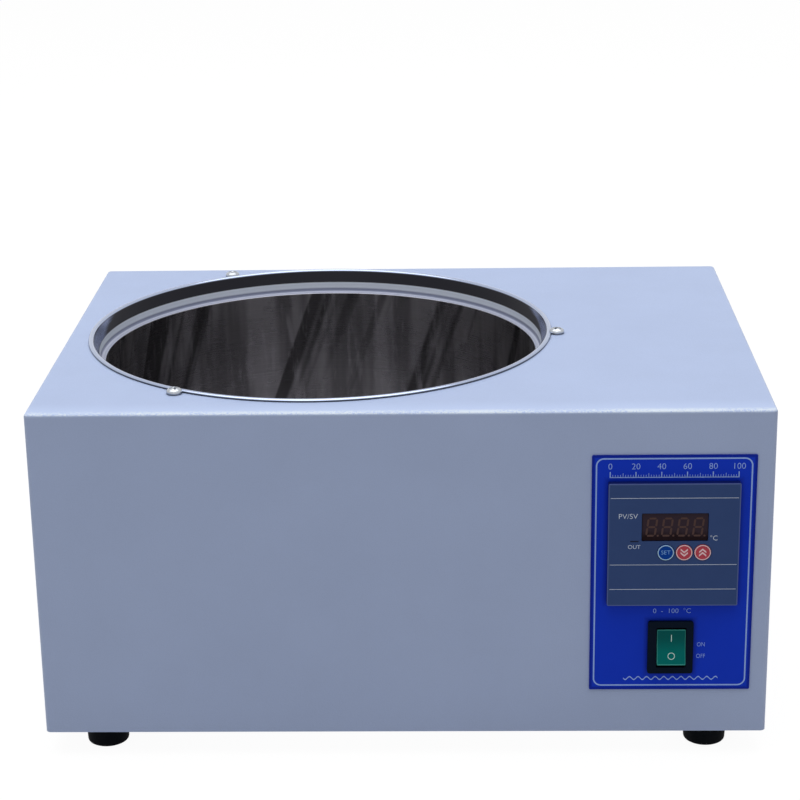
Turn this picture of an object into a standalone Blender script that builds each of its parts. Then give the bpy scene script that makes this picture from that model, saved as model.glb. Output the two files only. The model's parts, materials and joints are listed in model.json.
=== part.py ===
"""Laboratory water bath: a painted sheet steel case round a spun steel tank, with its controls on the front.

Lengths are metres. Each group of values below belongs to one piece, which takes its size and place from them.
"""

import math

import bmesh
import bpy
from mathutils import Matrix, Vector, geometry

# Clearances shared by all pieces
GAP = 0.0003
OVERRUN = 0.002
FIT = 0.0006

# Tank: inner radius, depth below the case top, sheet and floor fillet
TANK_RADIUS = 0.1315
TANK_DEPTH = 0.150
TANK_WALL = 0.0008
TANK_FILLET = 0.012

# Rim of the tank: the seat for a lid, the round corner and steep step above it, the slope and the rolled lip
LEDGE_WIDTH = 0.0031
LEDGE_DROP = 0.0128
LEDGE_CORNER = 0.0018
STEP_WIDTH = 0.0004
STEP_DROP = 0.0062
SLOPE_WIDTH = 0.00307
LIP_RADIUS = 0.0016
LIP_RISE = 0.0005
LIP_FLATNESS = 0.75
LIP_START_ANGLE = math.radians(160)

# Case and the margins that the rim and the label leave on it
BATH_LEFT_MARGIN = 0.0120
BATH_FRONT_MARGIN = 0.0188
BATH_BACK_MARGIN = 0.0048
UNDER_TANK_ROOM = 0.0407
SHEET = 0.0012
CASE_EDGE_RADIUS = 0.0025

# Base tray, its side flanges and the air slots in its floor
FLANGE_HEIGHT = 0.016
SLOT_WIDTH = 0.004
SLOT_LENGTH = 0.036
SLOT_PITCH = 0.012
SLOT_COUNT = 6

# Feet
FOOT_HEIGHT = 0.015
FOOT_TOP_RADIUS = 0.0125
FOOT_BOTTOM_RADIUS = 0.0118
FOOT_EDGE = 0.0016
FOOT_BORE = 0.0024
FOOT_RECESS_RADIUS = 0.0052
FOOT_RECESS_DEPTH = 0.0080
FOOT_SIDE_INSET = 0.0320
FOOT_FRONT_INSET = 0.0220

# Screws: M4 in the feet, the rim and the sides, M3 on the inlet
M4_RADIUS = 0.0019
M4_HEAD_RADIUS = 0.0043
M4_HEAD = (M4_HEAD_RADIUS, 0.0022)
M4_NUT_RADIUS = 0.0040
M4_NUT_HEIGHT = 0.0030
M3_RADIUS = 0.0014
M3_HEAD = (0.0028, 0.0018)
HEAD_EDGE_SHARE = 0.35
SCREW_TIP = 0.0030
SIDE_SCREW_INSET = 0.060
RIM_SCREW_OFFSET = 0.0032
RIM_SCREW_ANGLES = (math.radians(-121.2), math.radians(-4.2), math.radians(117.5))
RIM_HEAD = (M4_HEAD_RADIUS, 0.0024)
LIP_FOOT_HEIGHT = 0.0010

# Insulation round the tank
JACKET_WALL = 0.0100
JACKET_TOP_DROP = 0.0060
PIPE_DOOR_WIDTH = 0.020
WIRE_DOOR_WIDTH = 0.040

# Heater: one ring of sheathed tube with two legs through the tank floor, each nut half the room from the middle
HEATER_TUBE_RADIUS = 0.0040
HEATER_WALL_INSET = 0.0410
HEATER_LIFT = 0.0100
HEATER_BEND = 0.0095
HEATER_LEG = 0.0200
HEATER_NUT_RADIUS = 0.0085
HEATER_NUT_HEIGHT = 0.0060
HEATER_NUT_ROOM = 0.0043

# Temperature sensor through the tank wall
SENSOR_RADIUS = 0.0025
SENSOR_REACH = 0.042
SENSOR_TAIL = 0.020
SENSOR_LIFT = 0.020
SENSOR_ANGLE = math.radians(-28)
SENSOR_NUT_RADIUS = 0.0065
SENSOR_NUT_HEIGHT = 0.0050

# Perforated shelf that lifts out of the tank
SHELF_CLEARANCE = 0.0060
SHELF_LIFT = 0.0330
SHELF_SHEET = 0.0012
SHELF_RIM = 0.0050
SHELF_LEG_RADIUS = 0.0030
SHELF_LEG_INSET = 0.0120
SHELF_LEG_ANGLES = (math.radians(70), math.radians(190), math.radians(290))
SHELF_HOLE_RADIUS = 0.0045
SHELF_HOLE_PITCH = 0.0240
SHELF_HOLE_RINGS = 4

# Label plate on the front
LABEL_WIDTH = 0.0900
LABEL_HEIGHT = 0.1403
LABEL_THICKNESS = 0.0005
LABEL_LEFT_MARGIN = 0.0154
LABEL_RIGHT_MARGIN = 0.0102
LABEL_BOTTOM_MARGIN = 0.0264

# Controller: square bezel, window, three round keys, housing behind the panel
BEZEL_SIDE = 0.0720
BEZEL_DEPTH = 0.0042
BEZEL_CORNER = 0.0015
CONTROLLER_RISE = 0.0190
WINDOW_WIDTH = 0.0365
WINDOW_HEIGHT = 0.0164
WINDOW_SIDE_OFFSET = 0.0006
WINDOW_RISE = 0.0106
WINDOW_SHEET = 0.0015
WINDOW_RECESS = 0.0005
KEY_RADIUS = 0.00455
KEY_STEM_RADIUS = 0.0020
KEY_PITCH = 0.0101
KEY_DROP = 0.0042
KEY_ROW_OFFSET = 0.0059
KEY_PROUD = 0.0004
KEY_TRAVEL = 0.0005
HOUSING_SIDE = 0.0670
HOUSING_WALL = 0.0016
HOUSING_DEPTH = 0.0700
BOARD_SETBACK = 0.0060
BOARD_THICKNESS = 0.0016
DISPLAY_MARGIN = 0.0012
CLAMP_WIDTH = 0.0030
CLAMP_HEIGHT = 0.0100
CLAMP_LENGTH = 0.0450

# Rocker switch: flange, body, pocket and the rocker on its pin
SWITCH_WIDTH = 0.0254
SWITCH_HEIGHT = 0.0316
SWITCH_FLANGE = 0.0020
SWITCH_CORNER = 0.0015
SWITCH_DROP = 0.0436
SWITCH_BODY_WIDTH = 0.0216
SWITCH_BODY_HEIGHT = 0.0280
SWITCH_BODY_DEPTH = 0.0185
ROCKER_WIDTH = 0.0164
ROCKER_HALF_HEIGHT = 0.0104
ROCKER_AXIS_DEPTH = 0.0010
ROCKER_END_REACH = 0.0055
ROCKER_MIDDLE_REACH = 0.0046
ROCKER_BACK_REACH = 0.0040
ROCKER_BACK_HALF_HEIGHT = 0.0080
ROCKER_TILT = math.radians(8)
ROCKER_PIN_RADIUS = 0.0011
ROCKER_PIN_BITE = 0.0015

# Mains inlet on the back, with its earth, line and neutral pins
INLET_FLANGE_WIDTH = 0.0480
INLET_FLANGE_HEIGHT = 0.0240
INLET_FLANGE_DEPTH = 0.0030
INLET_BODY_WIDTH = 0.0275
INLET_BODY_HEIGHT = 0.0200
INLET_BODY_DEPTH = 0.0220
INLET_SOCKET_WIDTH = 0.0244
INLET_SOCKET_HEIGHT = 0.0164
INLET_SOCKET_DEPTH = 0.0165
INLET_SOCKET_CHAMFER = 0.0050
INLET_PIN_WIDTH = 0.0020
INLET_PIN_HEIGHT = 0.0040
INLET_PIN_LENGTH = 0.0140
INLET_PIN_SPREAD = 0.0070
INLET_PIN_OFFSET = 0.0020
INLET_SCREW_SPREAD = 0.0190
INLET_HEIGHT = 0.060

# Fuse holder above the inlet
FUSE_BODY_RADIUS = 0.0065
FUSE_BODY_LENGTH = 0.0300
FUSE_BORE_RADIUS = 0.0042
FUSE_FLANGE_RADIUS = 0.0090
FUSE_FLANGE_DEPTH = 0.0025
FUSE_CAP_RADIUS = 0.0070
FUSE_CAP_DEPTH = 0.0070
FUSE_PLUG_LENGTH = 0.0120
FUSE_SLOT_WIDTH = 0.0012
FUSE_SLOT_DEPTH = 0.0016
FUSE_RISE = 0.040

# Air slots in the back panel
BACK_SLOT_WIDTH = 0.0030
BACK_SLOT_HEIGHT = 0.0280
BACK_SLOT_PITCH = 0.0080
BACK_SLOT_COUNT = 7
BACK_SLOT_RISE = 0.040

# Power relay on the tray
RELAY_WIDTH = 0.0580
RELAY_DEPTH = 0.0450
RELAY_HEIGHT = 0.0230
RELAY_STEP_WIDTH = 0.0120
RELAY_STEP_HEIGHT = 0.0080
RELAY_EDGE = 0.0010

# Drain: pipe from the tank floor, plug cock behind the case, its lever
DRAIN_INSET = 0.0400
PIPE_RADIUS = 0.0060
PIPE_BORE = 0.0045
PIPE_DROP = 0.0040
PIPE_BEND = 0.0120
PIPE_BITE = 0.0050
COCK_RADIUS = 0.0090
COCK_LENGTH = 0.0240
COCK_BARREL_RADIUS = 0.0095
COCK_BARREL_HEIGHT = 0.0200
COCK_FLOOR = 0.0015
SPOUT_RADIUS = 0.0060
SPOUT_BORE = 0.0040
SPOUT_LENGTH = 0.0160
SPOUT_BARB = 0.0008
SPOUT_BARB_COUNT = 3
PLUG_RADIUS = 0.0065
PLUG_TAPER = 0.0010
PLUG_BORE = 0.0035
STEM_RADIUS = 0.0025
STEM_RISE = 0.0070
LEVER_WIDTH = 0.0080
LEVER_THICKNESS = 0.0020
LEVER_LENGTH = 0.0380
LEVER_HUB_RADIUS = 0.0060
LEVER_NUT_RADIUS = 0.0045
LEVER_NUT_HEIGHT = 0.0028

# Wires
THIN_WIRE_RADIUS = 0.0013
MAINS_WIRE_RADIUS = 0.0030
WIRE_RUN = 0.0120
WIRE_STEPS = 5

# How finely round shapes are divided
TANK_STEPS = 60
ROUND_STEPS = 24
SMALL_STEPS = 16
SCREW_STEPS = 12
BARREL_STEPS = 20
HOLE_STEPS = 8
ARC_STEPS = 6
SHARP_ANGLE = math.radians(35)

# Sizes that follow from those above
LIP_CENTRE_RADIUS = (
    TANK_RADIUS + LEDGE_WIDTH + STEP_WIDTH + SLOPE_WIDTH - LIP_RADIUS * math.cos(LIP_START_ANGLE)
)
RIM_RADIUS = LIP_CENTRE_RADIUS + LIP_RADIUS
CASE_WIDTH = BATH_LEFT_MARGIN + RIM_RADIUS * 2 + LABEL_LEFT_MARGIN + LABEL_WIDTH + LABEL_RIGHT_MARGIN
CASE_DEPTH = BATH_FRONT_MARGIN + RIM_RADIUS * 2 + BATH_BACK_MARGIN
CASE_HEIGHT = UNDER_TANK_ROOM + TANK_WALL + TANK_DEPTH
BATH_X = BATH_LEFT_MARGIN + RIM_RADIUS - CASE_WIDTH / 2
BATH_Y = BATH_FRONT_MARGIN + RIM_RADIUS
PANEL_X = CASE_WIDTH / 2 - LABEL_RIGHT_MARGIN - LABEL_WIDTH / 2
PANEL_Z = LABEL_BOTTOM_MARGIN + LABEL_HEIGHT / 2
LABEL_FRONT = GAP + LABEL_THICKNESS
BEZEL_BACK = LABEL_FRONT + GAP
TANK_OUTER_RADIUS = TANK_RADIUS + TANK_WALL
JACKET_RADIUS = TANK_OUTER_RADIUS + GAP + JACKET_WALL
FLOOR_UNDERSIDE = -TANK_DEPTH - TANK_WALL
HEATER_RING_RADIUS = TANK_RADIUS - HEATER_WALL_INSET
HEATER_LEG_Y = HEATER_NUT_RADIUS + HEATER_NUT_ROOM
HEATER_GAP_ANGLE = math.atan2(HEATER_BEND, HEATER_RING_RADIUS) + math.asin(
    HEATER_LEG_Y / math.hypot(HEATER_RING_RADIUS, HEATER_BEND)
)
HEATER_LEG_X = HEATER_RING_RADIUS * math.cos(HEATER_GAP_ANGLE) + HEATER_BEND * math.sin(HEATER_GAP_ANGLE)
RELAY_LEFT = PANEL_X - RELAY_WIDTH / 2
PIPE_Z = CASE_HEIGHT + FLOOR_UNDERSIDE - GAP - PIPE_DROP - PIPE_BEND
COCK_START = PIPE_BITE / 2
COCK_MIDDLE = COCK_START + COCK_LENGTH / 2
BARREL_TOP = COCK_BARREL_HEIGHT / 2
BACK_REACH = COCK_START + COCK_LENGTH + SPOUT_LENGTH
KEY_REACH = BEZEL_BACK + BEZEL_DEPTH + KEY_PROUD
ROCKER_REACH = (
    ROCKER_END_REACH * math.cos(ROCKER_TILT)
    + ROCKER_HALF_HEIGHT * math.sin(ROCKER_TILT)
    - ROCKER_AXIS_DEPTH
)
FRONT_REACH = max(KEY_REACH, ROCKER_REACH)
CASE_FRONT_Y = FRONT_REACH - (FRONT_REACH + CASE_DEPTH + BACK_REACH) / 2

# Finishes: colour, roughness, metallic
FINISHES = {
    "case_paint": ((0.66, 0.74, 0.86), 0.55, 0.0),
    "polished_steel": ((0.72, 0.72, 0.74), 0.18, 1.0),
    "plated_steel": ((0.62, 0.62, 0.64), 0.30, 1.0),
    "brushed_steel": ((0.60, 0.60, 0.62), 0.38, 1.0),
    "galvanised_sheet": ((0.52, 0.54, 0.56), 0.45, 1.0),
    "brass": ((0.72, 0.52, 0.22), 0.32, 1.0),
    "black_rubber": ((0.012, 0.012, 0.014), 0.75, 0.0),
    "black_plastic": ((0.012, 0.013, 0.016), 0.40, 0.0),
    "insulation_wool": ((0.78, 0.74, 0.62), 0.95, 0.0),
    "label_blue": ((0.006, 0.022, 0.30), 0.35, 0.0),
    "slate_plastic": ((0.022, 0.040, 0.105), 0.45, 0.0),
    "board_green": ((0.02, 0.16, 0.07), 0.50, 0.0),
    "display_red": ((0.030, 0.012, 0.010), 0.15, 0.0),
    "key_navy": ((0.010, 0.035, 0.22), 0.45, 0.0),
    "key_red": ((0.62, 0.060, 0.065), 0.45, 0.0),
    "rocker_green": ((0.0, 0.115, 0.080), 0.25, 0.0),
    "wire_red": ((0.55, 0.02, 0.02), 0.45, 0.0),
    "wire_grey": ((0.18, 0.18, 0.19), 0.50, 0.0),
}


def clear_scene():
    for thing in list(bpy.data.objects):
        bpy.data.objects.remove(thing, do_unlink=True)


def finish(name):
    material = bpy.data.materials.get(name)
    if material is None:
        colour, roughness, metallic = FINISHES[name]
        material = bpy.data.materials.new(name)
        material.use_nodes = True
        shader = material.node_tree.nodes["Principled BSDF"]
        shader.inputs["Base Color"].default_value = (*colour, 1.0)
        shader.inputs["Roughness"].default_value = roughness
        shader.inputs["Metallic"].default_value = metallic
    return material


def datum(name, place, parent=None):
    """An empty that carries the pieces measured from it."""
    empty = bpy.data.objects.new(name, None)
    bpy.context.scene.collection.objects.link(empty)
    empty.location = place
    empty.parent = parent
    return empty


def link(name, data, parent, place, turn):
    thing = bpy.data.objects.new(name, data)
    bpy.context.scene.collection.objects.link(thing)
    thing.parent = parent
    thing.location = place
    thing.rotation_euler = turn
    return thing


def piece(name, bm, material, parent, place=(0, 0, 0), turn=(0, 0, 0)):
    bmesh.ops.recalc_face_normals(bm, faces=bm.faces)
    mesh = bpy.data.meshes.new(name)
    bm.to_mesh(mesh)
    bm.free()
    mesh.shade_smooth()
    mesh.set_sharp_from_angle(angle=SHARP_ANGLE)
    if material:
        mesh.materials.append(finish(material))
    return link(name, mesh, parent, place, turn)


def combine(target, bm, operation, parent, place=(0, 0, 0), turn=(0, 0, 0)):
    """Cuts the shape in bm from the target, or joins it on."""
    tool = piece(f"{target.name}_{operation.lower()}", bm, None, parent, place, turn)
    tool.hide_render = True
    tool.display_type = "WIRE"
    boolean = target.modifiers.new(operation.title(), "BOOLEAN")
    boolean.operation = operation
    boolean.solver = "EXACT"
    boolean.object = tool


def cut(target, bm, parent, place=(0, 0, 0), turn=(0, 0, 0)):
    combine(target, bm, "DIFFERENCE", parent, place, turn)


def join(target, bm, parent, place=(0, 0, 0), turn=(0, 0, 0)):
    combine(target, bm, "UNION", parent, place, turn)


def add_block(bm, width, depth, height, place=(0, 0, 0)):
    matrix = Matrix.Translation(place) @ Matrix.Diagonal((width, depth, height, 1))
    return bmesh.ops.create_cube(bm, size=1, matrix=matrix)["verts"]


def block(width, depth, height, place=(0, 0, 0)):
    bm = bmesh.new()
    add_block(bm, width, depth, height, place)
    return bm


def rounded_block(width, depth, height, radius, axes, steps=2):
    """A block whose edges along the named axes are rounded."""
    bm = block(width, depth, height)
    edges = []
    for edge in bm.edges:
        run = edge.verts[1].co - edge.verts[0].co
        if max(range(3), key=lambda i: abs(run[i])) in axes:
            edges.append(edge)
    bmesh.ops.bevel(
        bm, geom=edges, offset=radius, affect="EDGES", segments=steps, profile=0.5, clamp_overlap=True
    )
    return bm


def add_rod(bm, radius, length, place=(0, 0, 0), turn=None, steps=SMALL_STEPS, tip_radius=None):
    """A rod centred on its place, along Z unless it is turned."""
    matrix = Matrix.Translation(place)
    if turn:
        matrix = matrix @ turn
    return bmesh.ops.create_cone(
        bm,
        cap_ends=True,
        segments=steps,
        radius1=radius,
        radius2=radius if tip_radius is None else tip_radius,
        depth=length,
        matrix=matrix,
    )["verts"]


def rod(radius, length, place=(0, 0, 0), turn=None, steps=SMALL_STEPS, tip_radius=None):
    bm = bmesh.new()
    add_rod(bm, radius, length, place, turn, steps, tip_radius)
    return bm


ALONG_X = Matrix.Rotation(math.pi / 2, 4, "Y")
ALONG_Y = Matrix.Rotation(math.pi / 2, 4, "X")


def turned(profile, steps, closed=False):
    """Spins an outline of (radius, height) points round Z."""
    bm = bmesh.new()
    verts = [bm.verts.new((radius, 0, height)) for radius, height in profile]
    edges = [bm.edges.new(pair) for pair in zip(verts, verts[1:])]
    if closed:
        edges.append(bm.edges.new((verts[-1], verts[0])))
    bmesh.ops.spin(
        bm,
        geom=verts + edges,
        cent=(0, 0, 0),
        axis=(0, 0, 1),
        angle=math.tau,
        steps=steps,
        use_merge=True,
        use_duplicate=False,
    )
    bmesh.ops.remove_doubles(bm, verts=bm.verts, dist=GAP / 100)
    return bm


def ring(outer, inner, low, high, steps):
    return turned([(outer, low), (outer, high), (inner, high), (inner, low)], steps, closed=True)


def prism(outline, thickness, to_place):
    """Extrudes a flat outline both ways from its plane; to_place turns an outline point into x, y, z."""
    bm = bmesh.new()
    face = bm.faces.new([bm.verts.new(to_place(point, -thickness / 2)) for point in outline])
    grown = bmesh.ops.extrude_face_region(bm, geom=[face])["geom"]
    moved = [item for item in grown if isinstance(item, bmesh.types.BMVert)]
    step = Vector(to_place(outline[0], thickness / 2)) - Vector(to_place(outline[0], -thickness / 2))
    bmesh.ops.translate(bm, verts=moved, vec=step)
    return bm


def arc(centre, radius, start, end, steps):
    """Points on an arc in (radius, height), both ends included."""
    points = []
    for i in range(steps + 1):
        angle = start + (end - start) * i / steps
        points.append((centre[0] + radius * math.cos(angle), centre[1] + radius * math.sin(angle)))
    return points


def offset_outline(points, distance):
    """The outline moved to its right by the distance, square to both runs at each point."""
    moved = []
    for i, point in enumerate(points):
        here = Vector(point)
        before = here - Vector(points[i - 1]) if i else None
        after = Vector(points[i + 1]) - here if i + 1 < len(points) else None
        runs = [run.normalized() for run in (before, after) if run is not None]
        sides = [Vector((run.y, -run.x)) for run in runs]
        side = sum(sides, Vector((0, 0))).normalized()
        moved.append(tuple(here + side * (distance / side.dot(sides[0]))))
    return moved


def polar(radius, angle, height=0):
    return (radius * math.cos(angle), radius * math.sin(angle), height)


def smooth_path(points, steps):
    """A smooth curve through each of the points, whose two ends run straight."""
    points = [Vector(point) for point in points]
    points.insert(1, (points[0] + points[1]) / 2)
    points.insert(-1, (points[-1] + points[-2]) / 2)
    padded = [points[0] * 2 - points[1], *points, points[-1] * 2 - points[-2]]
    ways = []
    for before, here, after in zip(padded, padded[1:], padded[2:]):
        ways.append(((here - before).normalized() + (after - here).normalized()).normalized())
    path = []
    for start, end, leaving, arriving in zip(points, points[1:], ways, ways[1:]):
        reach = (end - start).length / 3
        handles = (start + leaving * reach, end - arriving * reach)
        path += geometry.interpolate_bezier(start, *handles, end, steps + 1)[:-1]
    return [*path, points[-1]]


def tube(name, points, radius, material, parent, fineness=1):
    """A solid round bar along the points."""
    curve = bpy.data.curves.new(name, "CURVE")
    curve.dimensions = "3D"
    curve.bevel_depth = radius
    curve.bevel_resolution = fineness
    curve.use_fill_caps = True
    spline = curve.splines.new("POLY")
    spline.points.add(len(points) - 1)
    for target, point in zip(spline.points, points):
        target.co = (*point, 1)
    curve.materials.append(finish(material))
    return link(name, curve, parent, (0, 0, 0), (0, 0, 0))


def screw(name, parent, place, turn, thread, length, head, shoulder=None):
    """A pan head screw whose head, a radius and a height, stands on the plane z = 0 or on its shoulder."""
    head_radius, head_height = head
    head_base = shoulder[1] if shoulder else 0
    edge = head_base + head_height * HEAD_EDGE_SHARE
    dome = head_height - head_height * HEAD_EDGE_SHARE
    profile = [(0, -length), (thread, -length), (thread, 0)]
    if shoulder:
        profile += [(shoulder[0], 0), (shoulder[0], head_base)]
    profile += [(head_radius, head_base)]
    for i in range(ARC_STEPS // 2 + 1):
        angle = math.pi / 2 * i / (ARC_STEPS // 2)
        profile.append((head_radius * math.cos(angle), edge + dome * math.sin(angle)))
    return piece(name, turned(profile, SCREW_STEPS), "plated_steel", parent, place, turn)


def nut(name, parent, place, radius, height, bore, turn=(0, 0, 0)):
    """A hexagon nut that stands on its place."""
    hexagon = rod(radius, height, (0, 0, height / 2), steps=6)
    body = piece(name, hexagon, "plated_steel", parent, place, turn)
    cut(body, rod(bore, height + OVERRUN, (0, 0, height / 2)), parent, place, turn)


def tank_outline():
    """The inner face of the tank, from the middle of its floor to the foot of its lip."""
    outline = [(0, -TANK_DEPTH)]
    fillet_centre = (TANK_RADIUS - TANK_FILLET, TANK_FILLET - TANK_DEPTH)
    outline += arc(fillet_centre, TANK_FILLET, -math.pi / 2, 0, ARC_STEPS - 2)
    corner = (TANK_RADIUS + LEDGE_WIDTH - LEDGE_CORNER, LEDGE_CORNER - LEDGE_DROP)
    outline.append((TANK_RADIUS, -LEDGE_DROP))
    outline += arc(corner, LEDGE_CORNER, -math.pi / 2, 0, ARC_STEPS // 2)
    outline.append((TANK_RADIUS + LEDGE_WIDTH + STEP_WIDTH, -STEP_DROP))
    lip = arc((LIP_CENTRE_RADIUS, 0), LIP_RADIUS, LIP_START_ANGLE, 0, ARC_STEPS)
    outline += [(radius, LIP_RISE + height * LIP_FLATNESS) for radius, height in lip]
    outline.append((RIM_RADIUS, GAP))
    return outline


def bath_hole_radius():
    """The hole in the case top, clear of the sloping wall that passes through it."""
    slope_top = LIP_RISE + LIP_RADIUS * math.sin(LIP_START_ANGLE) * LIP_FLATNESS
    share = STEP_DROP / (STEP_DROP + slope_top)
    slope_radius = TANK_RADIUS + LEDGE_WIDTH + STEP_WIDTH + SLOPE_WIDTH * share
    return slope_radius + TANK_WALL + FIT


def make_tank(bath):
    inner = tank_outline()
    outer = offset_outline(inner, TANK_WALL)
    outer[0] = (0, FLOOR_UNDERSIDE)
    outer[-1] = (RIM_RADIUS - TANK_WALL, GAP)
    tank = piece("tank", turned(inner + outer[::-1], TANK_STEPS), "polished_steel", bath)
    holes = bmesh.new()
    for side in (-1, 1):
        place = (HEATER_LEG_X, side * HEATER_LEG_Y, -TANK_DEPTH)
        add_rod(holes, HEATER_TUBE_RADIUS + FIT, TANK_WALL * 2 + OVERRUN, place)
    add_rod(holes, PIPE_BORE, TANK_WALL * 2 + OVERRUN, (0, TANK_RADIUS - DRAIN_INSET, -TANK_DEPTH))
    turn = Matrix.Rotation(SENSOR_ANGLE, 4, "Z") @ ALONG_X
    place = polar(TANK_RADIUS, SENSOR_ANGLE, SENSOR_LIFT - TANK_DEPTH)
    add_rod(holes, SENSOR_RADIUS + GAP, TANK_WALL * 2 + OVERRUN * 2, place, turn)
    notch_top = LIP_RISE + LIP_RADIUS + OVERRUN
    for angle in RIM_SCREW_ANGLES:
        place = polar(RIM_RADIUS + RIM_SCREW_OFFSET, angle, (LIP_FOOT_HEIGHT + notch_top) / 2)
        add_rod(holes, M4_HEAD_RADIUS + GAP, notch_top - LIP_FOOT_HEIGHT, place)
    cut(tank, holes, bath)


def make_case(case, bath, panel, back):
    shell = rounded_block(CASE_WIDTH, CASE_DEPTH, CASE_HEIGHT * 2, CASE_EDGE_RADIUS, (0, 1, 2))
    centre = (0, CASE_DEPTH / 2, 0)
    body = piece("outer_case", shell, "case_paint", case, centre)
    inside_width = CASE_WIDTH - SHEET * 2
    inside_depth = CASE_DEPTH - SHEET * 2
    inside_height = CASE_HEIGHT - SHEET
    inside = rounded_block(
        inside_width, inside_depth, inside_height * 2, CASE_EDGE_RADIUS - SHEET, (0, 1, 2)
    )
    cut(body, inside, case, centre)
    below = block(CASE_WIDTH + OVERRUN, CASE_DEPTH + OVERRUN, CASE_HEIGHT + OVERRUN)
    cut(body, below, case, (0, CASE_DEPTH / 2, -(CASE_HEIGHT + OVERRUN) / 2))
    cut(body, rod(bath_hole_radius(), SHEET * 2 + OVERRUN, steps=TANK_STEPS), bath)
    holes = bmesh.new()
    for angle in RIM_SCREW_ANGLES:
        place = polar(RIM_RADIUS + RIM_SCREW_OFFSET, angle)
        add_rod(holes, M4_RADIUS + GAP, SHEET * 2 + OVERRUN, place)
    cut(body, holes, bath)
    openings = bmesh.new()
    controller_cut = HOUSING_SIDE + FIT * 2
    add_block(openings, controller_cut, SHEET * 2 + OVERRUN, controller_cut, (0, 0, CONTROLLER_RISE))
    add_block(
        openings,
        SWITCH_BODY_WIDTH + FIT * 2,
        SHEET * 2 + OVERRUN,
        SWITCH_BODY_HEIGHT + FIT * 2,
        (0, 0, -SWITCH_DROP),
    )
    cut(body, openings, panel)
    cut(body, back_openings(), back)
    sides = bmesh.new()
    for x, y, z in side_screw_places():
        add_rod(sides, M4_RADIUS + GAP, SHEET * 2 + OVERRUN, (x, y, z), ALONG_X)
    cut(body, sides, case)


def back_openings():
    """What is cut from the back panel, measured from the panel's foot below the control panel."""
    bm = bmesh.new()
    through = SHEET * 2 + OVERRUN
    add_block(
        bm, INLET_BODY_WIDTH + FIT * 2, through, INLET_BODY_HEIGHT + FIT * 2, (PANEL_X, 0, INLET_HEIGHT)
    )
    for side in (-1, 1):
        place = (PANEL_X + side * INLET_SCREW_SPREAD, 0, INLET_HEIGHT)
        add_rod(bm, M3_RADIUS + GAP, through, place, ALONG_Y)
    add_rod(bm, FUSE_BODY_RADIUS + GAP, through, (PANEL_X, 0, INLET_HEIGHT + FUSE_RISE), ALONG_Y)
    add_rod(bm, PIPE_RADIUS + FIT, through, (BATH_X, 0, PIPE_Z), ALONG_Y)
    slot_z = INLET_HEIGHT + FUSE_RISE + BACK_SLOT_RISE
    for i in range(BACK_SLOT_COUNT):
        x = PANEL_X + BACK_SLOT_PITCH * (i - (BACK_SLOT_COUNT - 1) / 2)
        add_block(bm, BACK_SLOT_WIDTH, through, BACK_SLOT_HEIGHT, (x, 0, slot_z))
    return bm


def side_screw_places():
    x = CASE_WIDTH / 2
    ys = (SIDE_SCREW_INSET, CASE_DEPTH - SIDE_SCREW_INSET)
    return [(side * x, y, FLANGE_HEIGHT / 2) for side in (-1, 1) for y in ys]


def foot_places():
    x = CASE_WIDTH / 2 - FOOT_SIDE_INSET
    ys = (FOOT_FRONT_INSET, CASE_DEPTH - FOOT_FRONT_INSET)
    return [(side * x, y, 0) for y in ys for side in (-1, 1)]


def make_base_tray(case):
    width = CASE_WIDTH - SHEET * 2 - GAP * 2
    depth = CASE_DEPTH - SHEET * 2 - GAP * 2
    middle = (0, CASE_DEPTH / 2, FLANGE_HEIGHT / 2)
    outline = rounded_block(width, depth, FLANGE_HEIGHT, CASE_EDGE_RADIUS - SHEET, (2,))
    tray = piece("base_plate", outline, "galvanised_sheet", case, middle)
    hollow = block(width - SHEET * 2, depth + OVERRUN, FLANGE_HEIGHT)
    cut(tray, hollow, case, (0, CASE_DEPTH / 2, FLANGE_HEIGHT / 2 + SHEET))
    holes = bmesh.new()
    for x, y, _ in foot_places():
        add_rod(holes, M4_RADIUS + GAP, SHEET * 2 + OVERRUN, (x, y, 0))
    for x, y, z in side_screw_places():
        add_rod(holes, M4_RADIUS + GAP, SHEET * 4 + OVERRUN, (x, y, z), ALONG_X)
    for side in (-1, 1):
        for i in range(SLOT_COUNT):
            x = PANEL_X + SLOT_PITCH * (i - (SLOT_COUNT - 1) / 2)
            y = CASE_DEPTH / 2 + side * (RELAY_DEPTH / 2 + SLOT_LENGTH)
            add_block(holes, SLOT_WIDTH, SLOT_LENGTH, SHEET * 2 + OVERRUN, (x, y, 0))
    cut(tray, holes, case)


def make_feet(case):
    profile = [
        (FOOT_BORE, 0),
        (FOOT_TOP_RADIUS, 0),
        (FOOT_BOTTOM_RADIUS, FOOT_EDGE - FOOT_HEIGHT),
        (FOOT_BOTTOM_RADIUS - FOOT_EDGE, -FOOT_HEIGHT),
        (FOOT_RECESS_RADIUS, -FOOT_HEIGHT),
        (FOOT_RECESS_RADIUS, FOOT_RECESS_DEPTH - FOOT_HEIGHT),
        (FOOT_BORE, FOOT_RECESS_DEPTH - FOOT_HEIGHT),
    ]
    profile = [(radius, min(height, -GAP)) for radius, height in profile]
    over = (math.pi, 0, 0)
    names = ("front_left", "front_right", "back_left", "back_right")
    for name, place in zip(names, foot_places()):
        piece(f"foot_{name}", turned(profile, ROUND_STEPS, closed=True), "black_rubber", case, place)
        head = (place[0], place[1], FOOT_RECESS_DEPTH - FOOT_HEIGHT - GAP)
        length = FOOT_HEIGHT - FOOT_RECESS_DEPTH + SHEET + SCREW_TIP
        screw(f"foot_screw_{name}", case, head, over, M4_RADIUS, length, M4_HEAD)


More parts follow.
